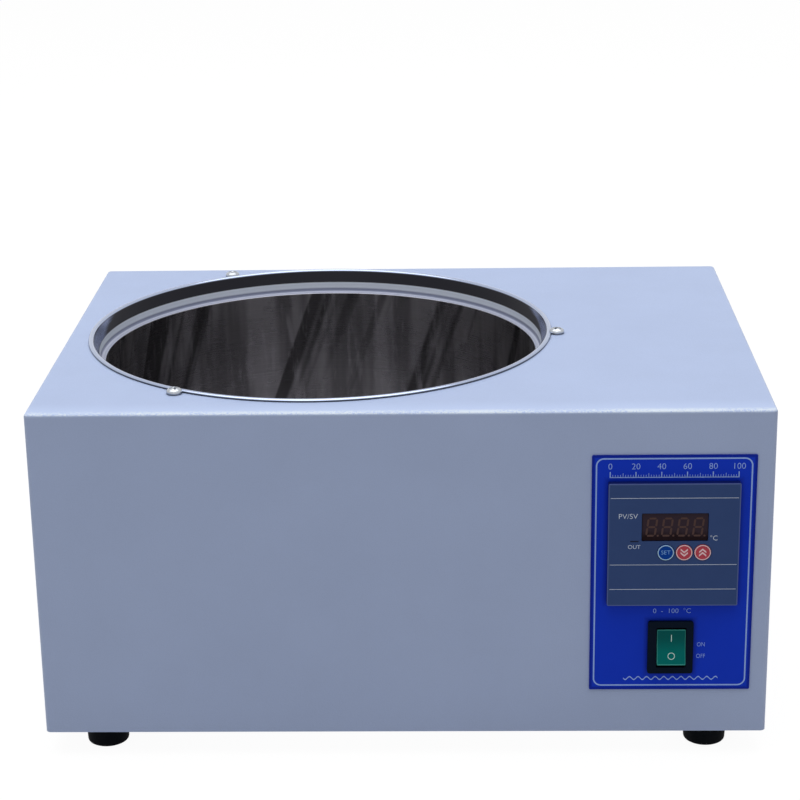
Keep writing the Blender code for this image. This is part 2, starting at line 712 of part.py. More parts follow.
def make_side_screws(case):
    names = ("left_front", "left_back", "right_front", "right_back")
    for name, (x, y, z) in zip(names, side_screw_places()):
        side = 1 if x > 0 else -1
        turn = (0, side * math.pi / 2, 0)
        place = (x + side * GAP, y, z)
        length = SHEET * 2 + SCREW_TIP
        screw(f"side_screw_{name}", case, place, turn, M4_RADIUS, length, M4_HEAD)


def make_rim_screws(bath):
    shoulder = (RIM_SCREW_OFFSET - GAP, LIP_FOOT_HEIGHT)
    names = ("front", "right", "back")
    for name, angle in zip(names, RIM_SCREW_ANGLES):
        place = polar(RIM_RADIUS + RIM_SCREW_OFFSET, angle, GAP)
        length = SHEET + M4_NUT_HEIGHT + SCREW_TIP / 2
        screw(f"rim_screw_{name}", bath, place, (0, 0, angle), M4_RADIUS, length, RIM_HEAD, shoulder)
        below = polar(RIM_RADIUS + RIM_SCREW_OFFSET, angle, -SHEET - GAP - M4_NUT_HEIGHT)
        turn = (0, 0, angle)
        nut(f"rim_nut_{name}", bath, below, M4_NUT_RADIUS, M4_NUT_HEIGHT, M4_RADIUS + GAP, turn)


def make_insulation(bath):
    top = -LEDGE_DROP - JACKET_TOP_DROP
    bottom = SHEET + GAP - CASE_HEIGHT
    inner = TANK_OUTER_RADIUS + GAP
    jacket = piece(
        "insulation_jacket", ring(JACKET_RADIUS, inner, bottom, top, TANK_STEPS), "insulation_wool", bath
    )
    door_height = UNDER_TANK_ROOM + OVERRUN
    door_z = bottom - OVERRUN + door_height / 2
    reach = JACKET_WALL * 3
    middle = JACKET_RADIUS - JACKET_WALL / 2
    cut(jacket, block(PIPE_DOOR_WIDTH, reach, door_height), bath, (0, middle, door_z))
    cut(jacket, block(reach, WIRE_DOOR_WIDTH, door_height), bath, (middle, 0, door_z))
    turn = Matrix.Rotation(SENSOR_ANGLE, 4, "Z") @ ALONG_X
    place = polar(middle, SENSOR_ANGLE, SENSOR_LIFT - TANK_DEPTH)
    cut(jacket, rod(SENSOR_NUT_RADIUS + FIT, reach, place, turn), bath)


def heater_path():
    """Down one leg's bend, round the ring and down the other leg, seen from the tank floor."""
    height = HEATER_LIFT - TANK_DEPTH
    bottom = FLOOR_UNDERSIDE - HEATER_LEG

    def leg(side):
        angle = HEATER_GAP_ANGLE * side
        start = Vector(polar(HEATER_RING_RADIUS, angle, height))
        along = Vector((math.sin(angle) * side, -math.cos(angle) * side, 0))
        points = []
        for i in range(ARC_STEPS):
            turn = math.pi / 2 * (i + 1) / ARC_STEPS
            drop = Vector((0, 0, -HEATER_BEND * (1 - math.cos(turn))))
            points.append(start + along * (HEATER_BEND * math.sin(turn)) + drop)
        foot = points[-1].copy()
        foot.z = bottom
        return [foot, *reversed(points)]

    ring_points = []
    count = TANK_STEPS // 2
    sweep = math.tau - HEATER_GAP_ANGLE * 2
    for i in range(count + 1):
        ring_points.append(Vector(polar(HEATER_RING_RADIUS, HEATER_GAP_ANGLE + sweep * i / count, height)))
    return leg(1) + ring_points + leg(-1)[::-1]


def make_heater(bath):
    tube("heater_tube", heater_path(), HEATER_TUBE_RADIUS, "brushed_steel", bath, fineness=2)
    for name, side in (("back", 1), ("front", -1)):
        place = (HEATER_LEG_X, side * HEATER_LEG_Y, FLOOR_UNDERSIDE - GAP - HEATER_NUT_HEIGHT)
        bore = HEATER_TUBE_RADIUS + GAP
        nut(f"heater_nut_{name}", bath, place, HEATER_NUT_RADIUS, HEATER_NUT_HEIGHT, bore)


def make_sensor(bath):
    turn = (0, math.pi / 2, SENSOR_ANGLE)
    place = polar(TANK_RADIUS, SENSOR_ANGLE, SENSOR_LIFT - TANK_DEPTH)
    profile = [
        (0, -SENSOR_REACH),
        (SENSOR_RADIUS / 2, -SENSOR_REACH),
        (SENSOR_RADIUS, SENSOR_RADIUS / 2 - SENSOR_REACH),
        (SENSOR_RADIUS, SENSOR_TAIL),
        (0, SENSOR_TAIL),
    ]
    piece("sensor_probe", turned(profile, SMALL_STEPS), "brushed_steel", bath, place, turn)
    outside = polar(TANK_OUTER_RADIUS + GAP * 2, SENSOR_ANGLE, SENSOR_LIFT - TANK_DEPTH)
    nut("sensor_nut", bath, outside, SENSOR_NUT_RADIUS, SENSOR_NUT_HEIGHT, SENSOR_RADIUS + GAP, turn)


def make_shelf(bath):
    """The shelf's origin is on the tank's axis at its own top face."""
    radius = TANK_RADIUS - SHELF_CLEARANCE
    seat = (0, 0, SHELF_LIFT - TANK_DEPTH)
    profile = [
        (0, 0),
        (radius, 0),
        (radius, -SHELF_RIM),
        (radius - SHELF_SHEET, -SHELF_RIM),
        (radius - SHELF_SHEET, -SHELF_SHEET),
        (0, -SHELF_SHEET),
    ]
    shelf = piece("perforated_shelf", turned(profile, TANK_STEPS), "brushed_steel", bath, seat)
    legs = bmesh.new()
    leg_length = SHELF_LIFT - GAP - SHELF_SHEET / 2
    for angle in SHELF_LEG_ANGLES:
        place = polar(radius - SHELF_LEG_INSET, angle, -SHELF_SHEET / 2 - leg_length / 2)
        add_rod(legs, SHELF_LEG_RADIUS, leg_length, place, steps=SCREW_STEPS)
    join(shelf, legs, bath, seat)
    holes = bmesh.new()
    for number in range(1, SHELF_HOLE_RINGS + 1):
        count = 6 * number
        for i in range(count):
            angle = math.tau * (i + number % 2 / 2) / count
            place = polar(SHELF_HOLE_PITCH * number, angle, -SHELF_SHEET / 2)
            add_rod(holes, SHELF_HOLE_RADIUS, SHELF_SHEET + OVERRUN, place, steps=HOLE_STEPS)
    cut(shelf, holes, bath, seat)


def make_label(panel):
    middle = (0, -GAP - LABEL_THICKNESS / 2, 0)
    label = piece(
        "label_plate", block(LABEL_WIDTH, LABEL_THICKNESS, LABEL_HEIGHT), "label_blue", panel, middle
    )
    through = LABEL_THICKNESS + OVERRUN
    openings = bmesh.new()
    side = HOUSING_SIDE + FIT * 2
    add_block(openings, side, through, side, (0, 0, CONTROLLER_RISE))
    add_block(
        openings,
        SWITCH_BODY_WIDTH + FIT * 2,
        through,
        SWITCH_BODY_HEIGHT + FIT * 2,
        (0, 0, -SWITCH_DROP),
    )
    cut(label, openings, panel, middle)


def key_places():
    return [(KEY_ROW_OFFSET + KEY_PITCH * i, 0, -KEY_DROP) for i in (-1, 0, 1)]


def make_controller(controller):
    middle = (0, -BEZEL_BACK - BEZEL_DEPTH / 2, 0)
    face = rounded_block(BEZEL_SIDE, BEZEL_DEPTH, BEZEL_SIDE, BEZEL_CORNER, (1,))
    bezel = piece("controller_bezel", face, "slate_plastic", controller, middle)
    openings = bmesh.new()
    through = BEZEL_DEPTH + OVERRUN
    window = (WINDOW_SIDE_OFFSET, 0, WINDOW_RISE)
    add_block(openings, WINDOW_WIDTH, through, WINDOW_HEIGHT, window)
    for place in key_places():
        add_rod(openings, KEY_RADIUS + GAP, through, place, ALONG_Y, steps=ROUND_STEPS)
    cut(bezel, openings, controller, middle)

    front = -BEZEL_BACK - BEZEL_DEPTH
    window_back = front + WINDOW_RECESS + WINDOW_SHEET
    pane = block(WINDOW_WIDTH - GAP * 2, WINDOW_SHEET, WINDOW_HEIGHT - GAP * 2)
    place = (window[0], window_back - WINDOW_SHEET / 2, window[2])
    piece("display_window", pane, "display_red", controller, place)

    depth = BOARD_SETBACK - window_back - GAP * 2
    module = block(WINDOW_WIDTH - DISPLAY_MARGIN * 2, depth, WINDOW_HEIGHT - DISPLAY_MARGIN * 2)
    place = (window[0], window_back + GAP + depth / 2, window[2])
    piece("display_module", module, "black_plastic", controller, place)

    side = HOUSING_SIDE - HOUSING_WALL * 2 - GAP * 2
    place = (0, BOARD_SETBACK + BOARD_THICKNESS / 2, 0)
    piece("controller_board", block(side, BOARD_THICKNESS, side), "board_green", controller, place)

    length = HOUSING_DEPTH + LABEL_FRONT
    place = (0, length / 2 - LABEL_FRONT, 0)
    housing = piece(
        "controller_housing", block(HOUSING_SIDE, length, HOUSING_SIDE), "black_plastic", controller, place
    )
    side = HOUSING_SIDE - HOUSING_WALL * 2
    cut(housing, block(side, length, side), controller, (0, place[1] - HOUSING_WALL, 0))

    for name, side in (("left", -1), ("right", 1)):
        place = (
            side * (HOUSING_SIDE / 2 + GAP + CLAMP_WIDTH / 2),
            SHEET + GAP + CLAMP_LENGTH / 2,
            0,
        )
        clamp = rounded_block(CLAMP_WIDTH, CLAMP_LENGTH, CLAMP_HEIGHT, BEZEL_CORNER / 2, (1,), steps=1)
        piece(f"controller_clamp_{name}", clamp, "galvanised_sheet", controller, place)


def make_keys(controller):
    """Each key's origin is on its own axis at the bezel's face."""
    cap = BEZEL_DEPTH + GAP
    face = BEZEL_BACK + BEZEL_DEPTH
    tail = face + BOARD_SETBACK - KEY_TRAVEL - GAP
    profile = [
        (0, KEY_PROUD),
        (KEY_RADIUS - KEY_PROUD, KEY_PROUD),
        (KEY_RADIUS, KEY_PROUD / 2),
        (KEY_RADIUS, -cap),
        (KEY_STEM_RADIUS, -cap),
        (KEY_STEM_RADIUS, -tail),
        (0, -tail),
    ]
    keys = (("set_key", "key_navy"), ("down_key", "key_red"), ("up_key", "key_red"))
    for (name, material), (x, _, z) in zip(keys, key_places()):
        place = (x, -face, z)
        piece(name, turned(profile, ROUND_STEPS), material, controller, place, (math.pi / 2, 0, 0))


def rocker_pocket():
    """Half height and depth of the pocket in which the rocker swings."""
    half_height = math.hypot(ROCKER_END_REACH, ROCKER_HALF_HEIGHT) + GAP
    depth = math.hypot(ROCKER_BACK_REACH, ROCKER_BACK_HALF_HEIGHT) + GAP
    return half_height, depth


def make_switch(panel):
    """The rocker and its pin are placed from the hinge axis."""
    centre = (0, 0, -SWITCH_DROP)
    axis = datum("rocker_axis", (0, ROCKER_AXIS_DEPTH, -SWITCH_DROP), panel)
    flange = rounded_block(SWITCH_WIDTH, SWITCH_FLANGE, SWITCH_HEIGHT, SWITCH_CORNER, (1,))
    place = (0, -BEZEL_BACK - SWITCH_FLANGE / 2, -SWITCH_DROP)
    body = piece("switch_body", flange, "black_plastic", panel, place)
    back = SWITCH_BODY_DEPTH + BEZEL_BACK + SWITCH_FLANGE / 2
    block_shape = block(SWITCH_BODY_WIDTH, back, SWITCH_BODY_HEIGHT, (0, SWITCH_BODY_DEPTH - back / 2, 0))
    join(body, block_shape, panel, centre)
    half_height, depth = rocker_pocket()
    front = BEZEL_BACK + SWITCH_FLANGE + OVERRUN + ROCKER_AXIS_DEPTH
    pocket_middle = (0, (depth - front) / 2, 0)
    cut(body, block(ROCKER_WIDTH + GAP * 2, depth + front, half_height * 2, pocket_middle), axis)
    pin_length = ROCKER_WIDTH + GAP * 2 + ROCKER_PIN_BITE * 2
    cut(body, rod(ROCKER_PIN_RADIUS + GAP, pin_length + GAP * 2, turn=ALONG_X, steps=SCREW_STEPS), axis)

    outline = [
        (-ROCKER_END_REACH, ROCKER_HALF_HEIGHT),
        (-ROCKER_MIDDLE_REACH, 0),
        (-ROCKER_END_REACH, -ROCKER_HALF_HEIGHT),
        (ROCKER_BACK_REACH, -ROCKER_BACK_HALF_HEIGHT),
        (ROCKER_BACK_REACH, ROCKER_BACK_HALF_HEIGHT),
    ]
    wedge = prism(outline, ROCKER_WIDTH, lambda point, x: (x, point[0], point[1]))
    pressed = (-ROCKER_TILT, 0, 0)
    rocker = piece("rocker", wedge, "rocker_green", axis, turn=pressed)
    bore = rod(ROCKER_PIN_RADIUS + GAP, ROCKER_WIDTH + OVERRUN, turn=ALONG_X, steps=SCREW_STEPS)
    cut(rocker, bore, axis)
    pin = rod(ROCKER_PIN_RADIUS, pin_length, turn=ALONG_X, steps=SCREW_STEPS)
    piece("rocker_pin", pin, "plated_steel", axis)


def make_inlet(back):
    centre = (PANEL_X, 0, INLET_HEIGHT)
    flange = rounded_block(
        INLET_FLANGE_WIDTH, INLET_FLANGE_DEPTH, INLET_FLANGE_HEIGHT, INLET_FLANGE_DEPTH, (1,)
    )
    outer = GAP + INLET_FLANGE_DEPTH
    inlet = piece(
        "mains_inlet", flange, "black_plastic", back, (PANEL_X, GAP + INLET_FLANGE_DEPTH / 2, INLET_HEIGHT)
    )
    length = INLET_BODY_DEPTH + outer - GAP
    join(
        inlet,
        block(INLET_BODY_WIDTH, length, INLET_BODY_HEIGHT, (0, length / 2 - INLET_BODY_DEPTH, 0)),
        back,
        centre,
    )
    half_width = INLET_SOCKET_WIDTH / 2
    half_height = INLET_SOCKET_HEIGHT / 2
    outline = [
        (-half_width, -half_height),
        (half_width, -half_height),
        (half_width, half_height - INLET_SOCKET_CHAMFER),
        (half_width - INLET_SOCKET_CHAMFER, half_height),
        (INLET_SOCKET_CHAMFER - half_width, half_height),
        (-half_width, half_height - INLET_SOCKET_CHAMFER),
    ]
    depth = INLET_SOCKET_DEPTH + OVERRUN
    middle = outer - INLET_SOCKET_DEPTH + depth / 2
    socket = prism(outline, depth, lambda point, y: (point[0], y, point[1]))
    cut(inlet, socket, back, (PANEL_X, middle, INLET_HEIGHT))
    holes = bmesh.new()
    for side in (-1, 1):
        place = (side * INLET_SCREW_SPREAD, 0, 0)
        add_rod(holes, M3_RADIUS + GAP, INLET_FLANGE_DEPTH * 4, place, ALONG_Y, steps=SCREW_STEPS)
    cut(inlet, holes, back, centre)

    pin_y = outer - INLET_SOCKET_DEPTH + GAP + INLET_PIN_LENGTH / 2
    pins = (
        ("line", -INLET_PIN_SPREAD, -INLET_PIN_OFFSET),
        ("earth", 0, INLET_PIN_OFFSET),
        ("neutral", INLET_PIN_SPREAD, -INLET_PIN_OFFSET),
    )
    for name, x, z in pins:
        blade = rounded_block(
            INLET_PIN_WIDTH, INLET_PIN_LENGTH, INLET_PIN_HEIGHT, INLET_PIN_WIDTH / 4, (1,), steps=1
        )
        piece(f"inlet_pin_{name}", blade, "brass", back, (PANEL_X + x, pin_y, INLET_HEIGHT + z))
    for name, side in (("left", -1), ("right", 1)):
        place = (PANEL_X + side * INLET_SCREW_SPREAD, outer + GAP, INLET_HEIGHT)
        length = outer + SHEET + SCREW_TIP
        turn = (-math.pi / 2, 0, 0)
        screw(f"inlet_screw_{name}", back, place, turn, M3_RADIUS, length, M3_HEAD)


def make_fuse_holder(back):
    """The cap's origin is on its own axis at the holder's mouth."""
    place = (PANEL_X, 0, INLET_HEIGHT + FUSE_RISE)
    turn = (-math.pi / 2, 0, 0)
    mouth = GAP + FUSE_FLANGE_DEPTH
    profile = [
        (0, -FUSE_BODY_LENGTH),
        (FUSE_BODY_RADIUS, -FUSE_BODY_LENGTH),
        (FUSE_BODY_RADIUS, GAP),
        (FUSE_FLANGE_RADIUS, GAP),
        (FUSE_FLANGE_RADIUS, mouth),
        (FUSE_BORE_RADIUS, mouth),
        (FUSE_BORE_RADIUS, FUSE_BODY_RADIUS - FUSE_BORE_RADIUS - FUSE_BODY_LENGTH),
        (0, FUSE_BODY_RADIUS - FUSE_BORE_RADIUS - FUSE_BODY_LENGTH),
    ]
    piece("fuse_holder", turned(profile, ROUND_STEPS), "black_plastic", back, place, turn)
    plug = FUSE_BORE_RADIUS - GAP
    top = GAP + FUSE_CAP_DEPTH
    profile = [
        (0, -FUSE_PLUG_LENGTH),
        (plug, -FUSE_PLUG_LENGTH),
        (plug, GAP),
        (FUSE_CAP_RADIUS, GAP),
        (FUSE_CAP_RADIUS, top - FUSE_SLOT_WIDTH),
        (FUSE_CAP_RADIUS - FUSE_SLOT_WIDTH, top),
        (0, top),
    ]
    place = (PANEL_X, mouth, INLET_HEIGHT + FUSE_RISE)
    cap = piece("fuse_cap", turned(profile, ROUND_STEPS), "black_plastic", back, place, turn)
    slot = block(FUSE_CAP_RADIUS * 3, FUSE_SLOT_WIDTH, FUSE_SLOT_DEPTH * 2, (0, 0, top))
    cut(cap, slot, back, place, turn)


def make_relay(case):
    middle = (PANEL_X, BATH_Y, SHEET + GAP + RELAY_HEIGHT / 2)
    body = rounded_block(RELAY_WIDTH, RELAY_DEPTH, RELAY_HEIGHT, RELAY_EDGE, (2,), steps=1)
    relay = piece("power_relay", body, "black_plastic", case, middle)
    steps = bmesh.new()
    for side in (-1, 1):
        x = side * (RELAY_WIDTH / 2)
        z = RELAY_HEIGHT / 2
        add_block(steps, RELAY_STEP_WIDTH * 2, RELAY_DEPTH + OVERRUN, RELAY_STEP_HEIGHT * 2, (x, 0, z))
    cut(relay, steps, case, middle)


def pipe_shape():
    """A hollow bend: down from the tank floor and back through the case."""
    bm = bmesh.new()
    outer, inner = (
        bmesh.ops.create_circle(bm, cap_ends=False, segments=SMALL_STEPS, radius=radius)["verts"]
        for radius in (PIPE_RADIUS, PIPE_BORE)
    )
    section = [bm.faces.new((outer[i - 1], outer[i], inner[i], inner[i - 1])) for i in range(SMALL_STEPS)]

    def lengthen(faces, run):
        grown = bmesh.ops.extrude_face_region(bm, geom=faces)["geom"]
        verts = [item for item in grown if isinstance(item, bmesh.types.BMVert)]
        bmesh.ops.translate(bm, verts=verts, vec=run)
        return [item for item in grown if isinstance(item, bmesh.types.BMFace)]

    dropped = lengthen(section, (0, 0, -PIPE_DROP))
    swept = bmesh.ops.spin(
        bm,
        geom=dropped,
        cent=(0, PIPE_BEND, -PIPE_DROP),
        axis=(1, 0, 0),
        angle=math.pi / 2,
        steps=ARC_STEPS,
        use_merge=False,
        use_duplicate=False,
    )
    bent = [item for item in swept["geom_last"] if isinstance(item, bmesh.types.BMFace)]
    run = CASE_DEPTH - BATH_Y - (TANK_RADIUS - DRAIN_INSET) - PIPE_BEND + COCK_START + PIPE_BITE
    lengthen(bent, (0, run, 0))
    bmesh.ops.delete(bm, geom=dropped + bent, context="FACES")
    return bm


def make_drain(bath, case):
    """Everything that turns with the lever is placed from the cock's upright axis."""
    place = (0, TANK_RADIUS - DRAIN_INSET, FLOOR_UNDERSIDE - GAP)
    piece("drain_pipe", pipe_shape(), "brushed_steel", bath, place)

    turn = (-math.pi / 2, 0, 0)
    start = datum("cock_start", (BATH_X, CASE_DEPTH, PIPE_Z), case)
    axis = datum("cock_axis", (BATH_X, CASE_DEPTH + COCK_MIDDLE, PIPE_Z), case)
    end = COCK_START + COCK_LENGTH
    spout_end = end + SPOUT_LENGTH
    profile = [(0, COCK_START), (COCK_RADIUS, COCK_START), (COCK_RADIUS, end), (SPOUT_RADIUS, end)]
    barb_pitch = SPOUT_LENGTH / (SPOUT_BARB_COUNT + 1)
    for i in range(SPOUT_BARB_COUNT):
        top = end + barb_pitch * (i + 1)
        profile += [(SPOUT_RADIUS, top), (SPOUT_RADIUS - SPOUT_BARB, top + barb_pitch)]
    profile = profile[:-1] + [(SPOUT_RADIUS - SPOUT_BARB, spout_end), (0, spout_end)]
    body = piece("drain_cock_body", turned(profile, SMALL_STEPS), "brass", start, turn=turn)
    join(body, rod(COCK_BARREL_RADIUS, COCK_BARREL_HEIGHT, steps=BARREL_STEPS), axis)
    socket = PIPE_BITE + GAP + OVERRUN
    middle = COCK_START + PIPE_BITE + GAP - socket / 2
    cut(body, rod(PIPE_RADIUS + GAP, socket, (0, middle, 0), ALONG_Y), start)
    through = COCK_LENGTH + SPOUT_LENGTH + OVERRUN
    cut(body, rod(SPOUT_BORE, through, (0, COCK_START + through / 2, 0), ALONG_Y, steps=SCREW_STEPS), start)
    bore_height = COCK_BARREL_HEIGHT - COCK_FLOOR + OVERRUN
    slope = PLUG_TAPER / COCK_BARREL_HEIGHT
    low_radius = PLUG_RADIUS - PLUG_TAPER + GAP
    high_radius = low_radius + slope * bore_height
    centre = (0, 0, COCK_FLOOR - BARREL_TOP + bore_height / 2)
    cut(body, rod(low_radius, bore_height, centre, steps=BARREL_STEPS, tip_radius=high_radius), axis)

    bottom = COCK_FLOOR + GAP - BARREL_TOP
    low_radius = PLUG_RADIUS - PLUG_TAPER + slope * GAP
    high_radius = low_radius + slope * (BARREL_TOP - bottom)
    stem_top = BARREL_TOP + STEM_RISE
    profile = [(0, bottom), (low_radius, bottom), (high_radius, BARREL_TOP), (STEM_RADIUS, BARREL_TOP)]
    profile += [(STEM_RADIUS, stem_top), (0, stem_top)]
    plug = piece("drain_plug", turned(profile, BARREL_STEPS), "brass", axis)
    cut(plug, rod(PLUG_BORE, PLUG_RADIUS * 3, turn=ALONG_X, steps=SCREW_STEPS), axis)

    lever_z = BARREL_TOP + GAP + LEVER_THICKNESS / 2
    hub = rod(LEVER_HUB_RADIUS, LEVER_THICKNESS, steps=ROUND_STEPS)
    lever = piece("drain_lever", hub, "plated_steel", axis, (0, 0, lever_z))
    arm = rounded_block(LEVER_LENGTH, LEVER_WIDTH, LEVER_THICKNESS, LEVER_WIDTH / 3, (2,), steps=3)
    join(lever, arm, axis, (LEVER_LENGTH / 2, 0, lever_z))
    cut(lever, rod(STEM_RADIUS + GAP, LEVER_THICKNESS + OVERRUN), axis, (0, 0, lever_z))
    seat = (0, 0, BARREL_TOP + GAP * 2 + LEVER_THICKNESS)
    nut("lever_nut", axis, seat, LEVER_NUT_RADIUS, LEVER_NUT_HEIGHT, STEM_RADIUS + GAP)


def make_wires(case):
    """Each wire runs from the face of one piece to the face of another, a gap clear of both."""
    leg_z = CASE_HEIGHT + FLOOR_UNDERSIDE - HEATER_LEG - GAP
    relay_z = SHEET + GAP + (RELAY_HEIGHT - RELAY_STEP_HEIGHT) / 2
    for name, side in (("back", 1), ("front", -1)):
        y = BATH_Y + side * HEATER_LEG_Y
        x = BATH_X + HEATER_LEG_X
        points = [
            (x, y, leg_z),
            (x, y, leg_z - WIRE_RUN / 2),
            (x + WIRE_RUN, y, relay_z),
            ((x + RELAY_LEFT) / 2, y, relay_z),
            (RELAY_LEFT - WIRE_RUN, y, relay_z),
            (RELAY_LEFT - GAP, y, relay_z),
        ]
        tube(f"heater_wire_{name}", smooth_path(points, WIRE_STEPS), THIN_WIRE_RADIUS, "wire_red", case)

    tail = TANK_RADIUS + SENSOR_TAIL
    sensor_z = CASE_HEIGHT - TANK_DEPTH + SENSOR_LIFT
    controller_z = PANEL_Z + CONTROLLER_RISE

    def out(distance):
        x, y, _ = polar(tail + distance, SENSOR_ANGLE)
        return (BATH_X + x, BATH_Y + y, sensor_z)

    end = (PANEL_X - HOUSING_SIDE / 4, HOUSING_DEPTH + GAP, controller_z)
    points = [
        out(GAP),
        out(WIRE_RUN),
        ((out(WIRE_RUN)[0] + end[0]) / 2, end[1] + WIRE_RUN * 2, (sensor_z + controller_z) / 2),
        (end[0], end[1] + WIRE_RUN, controller_z),
        end,
    ]
    tube("sensor_wire", smooth_path(points, WIRE_STEPS), THIN_WIRE_RADIUS, "wire_grey", case)

    inlet_end = CASE_DEPTH - INLET_BODY_DEPTH - GAP
    switch_z = PANEL_Z - SWITCH_DROP
    side_x = PANEL_X + RELAY_WIDTH / 2
    points = [
        (PANEL_X, inlet_end, INLET_HEIGHT),
        (PANEL_X, inlet_end - WIRE_RUN, INLET_HEIGHT),
        (side_x, (inlet_end + BATH_Y) / 2, INLET_HEIGHT),
        (side_x, BATH_Y, INLET_HEIGHT),
        (side_x, (BATH_Y + SWITCH_BODY_DEPTH) / 2, switch_z),
        (PANEL_X, SWITCH_BODY_DEPTH + WIRE_RUN * 2, switch_z),
        (PANEL_X, SWITCH_BODY_DEPTH + WIRE_RUN, switch_z),
        (PANEL_X, SWITCH_BODY_DEPTH + GAP, switch_z),
    ]
    tube("mains_wire", smooth_path(points, WIRE_STEPS), MAINS_WIRE_RADIUS, "wire_grey", case)


def main():
    clear_scene()
    case = datum("case_datum", (0, CASE_FRONT_Y, FOOT_HEIGHT))
    bath = datum("bath_datum", (BATH_X, BATH_Y, CASE_HEIGHT), case)
    panel = datum("panel_datum", (PANEL_X, 0, PANEL_Z), case)
    controller = datum("controller_datum", (0, 0, CONTROLLER_RISE), panel)
    back = datum("back_datum", (0, CASE_DEPTH, 0), case)
    make_case(case, bath, panel, back)
    make_base_tray(case)
    make_feet(case)
    make_side_screws(case)
    make_tank(bath)
    make_rim_screws(bath)
    make_insulation(bath)
    make_heater(bath)
    make_sensor(bath)
    make_shelf(bath)
    make_label(panel)
    make_controller(controller)
    make_keys(controller)
    make_switch(panel)
    make_inlet(back)
    make_fuse_holder(back)
    make_relay(case)
    make_drain(bath, case)
    make_wires(case)


main()
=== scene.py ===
import json
import math

import bmesh
import bpy
from mathutils import Matrix, Vector


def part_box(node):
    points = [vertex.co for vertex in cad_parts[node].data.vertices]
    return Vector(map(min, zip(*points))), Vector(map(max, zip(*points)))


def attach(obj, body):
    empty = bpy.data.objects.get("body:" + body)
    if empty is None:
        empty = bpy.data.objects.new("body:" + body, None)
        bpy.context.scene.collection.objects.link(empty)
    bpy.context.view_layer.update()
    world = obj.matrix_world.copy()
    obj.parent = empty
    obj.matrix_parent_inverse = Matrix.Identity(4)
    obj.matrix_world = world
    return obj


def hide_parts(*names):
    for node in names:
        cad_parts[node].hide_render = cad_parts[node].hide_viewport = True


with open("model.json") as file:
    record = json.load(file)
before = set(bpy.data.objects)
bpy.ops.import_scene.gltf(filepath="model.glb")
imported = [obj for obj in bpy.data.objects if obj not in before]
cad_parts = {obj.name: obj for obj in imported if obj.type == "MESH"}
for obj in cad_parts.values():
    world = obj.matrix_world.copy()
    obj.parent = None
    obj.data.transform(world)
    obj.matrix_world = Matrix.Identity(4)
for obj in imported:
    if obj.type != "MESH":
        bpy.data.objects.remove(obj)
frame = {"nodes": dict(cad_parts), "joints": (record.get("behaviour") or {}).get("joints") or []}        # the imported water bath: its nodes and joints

for name in ("Cube", "Light", "Camera"):  # what a new Blender file holds
    if name in bpy.data.objects:
        bpy.data.objects.remove(bpy.data.objects[name])

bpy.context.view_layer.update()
caseLow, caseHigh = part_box("outer_case")
tankLow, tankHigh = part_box("tank")
bath = Vector(((tankLow.x + tankHigh.x) / 2, (tankLow.y + tankHigh.y) / 2, caseHigh.z))
joints = {joint["name"]: joint for joint in frame["joints"]}


def extent(node):  # a node's lower corner, upper corner and middle
    low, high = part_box(node)
    return low, high, (low + high) / 2


def middle(node):
    return extent(node)[2]


def turned(degrees, axis):
    return Matrix.Rotation(math.radians(degrees), 4, axis)


def newObject(name, data):
    thing = bpy.data.objects.new(name, data)
    bpy.context.scene.collection.objects.link(thing)
    return thing


frontTurn = turned(90, "X")  # a flat drawing's Z turned to face the viewer in front
backTurn = turned(180, "Z") @ frontTurn
print("frame loaded")


# Camera: where the photo was taken from, its angles in degrees, its lens and sensor in millimetres

camera = {
    "place": (0.0324, -1.2734, 0.5787),
    "heading": 1.646,
    "tilt": 18.308,
    "roll": -0.905,
    "lens": 96.65,
    "sensor": 36,
}


def makeCamera():
    data = bpy.data.cameras.new("photoCamera")
    data.sensor_width = camera["sensor"]
    data.lens = camera["lens"]
    thing = newObject("photoCamera", data)
    turn = turned(camera["heading"], "Z") @ turned(90 - camera["tilt"], "X") @ turned(camera["roll"], "Z")
    thing.matrix_world = Matrix.Translation(camera["place"]) @ turn
    bpy.context.scene.camera = thing


makeCamera()
print("camera placed")


# Shader maths: sums on a Link add Math nodes, and a Finish is one material, or the world, with its nodes

class Link:
    def __init__(self, finish, socket):
        self.finish = finish
        self.socket = socket

    def sum(self, operation, a, b):
        return self.finish.node("ShaderNodeMath", {"operation": operation}, {0: a, 1: b})

    def __add__(self, other):
        return self.sum("ADD", self, other)

    def __sub__(self, other):
        return self.sum("SUBTRACT", self, other)

    def __rsub__(self, other):
        return self.sum("SUBTRACT", other, self)

    def __mul__(self, other):
        return self.sum("MULTIPLY", self, other)

    def __truediv__(self, other):
        return self.sum("DIVIDE", self, other)

    def __pow__(self, other):
        return self.sum("POWER", self, other)

    def __abs__(self):
        return self.sum("ABSOLUTE", self, 0.0)

    def least(self, other):
        return self.sum("MINIMUM", self, other)

    def most(self, other):
        return self.sum("MAXIMUM", self, other)

    __radd__ = __add__
    __rmul__ = __mul__


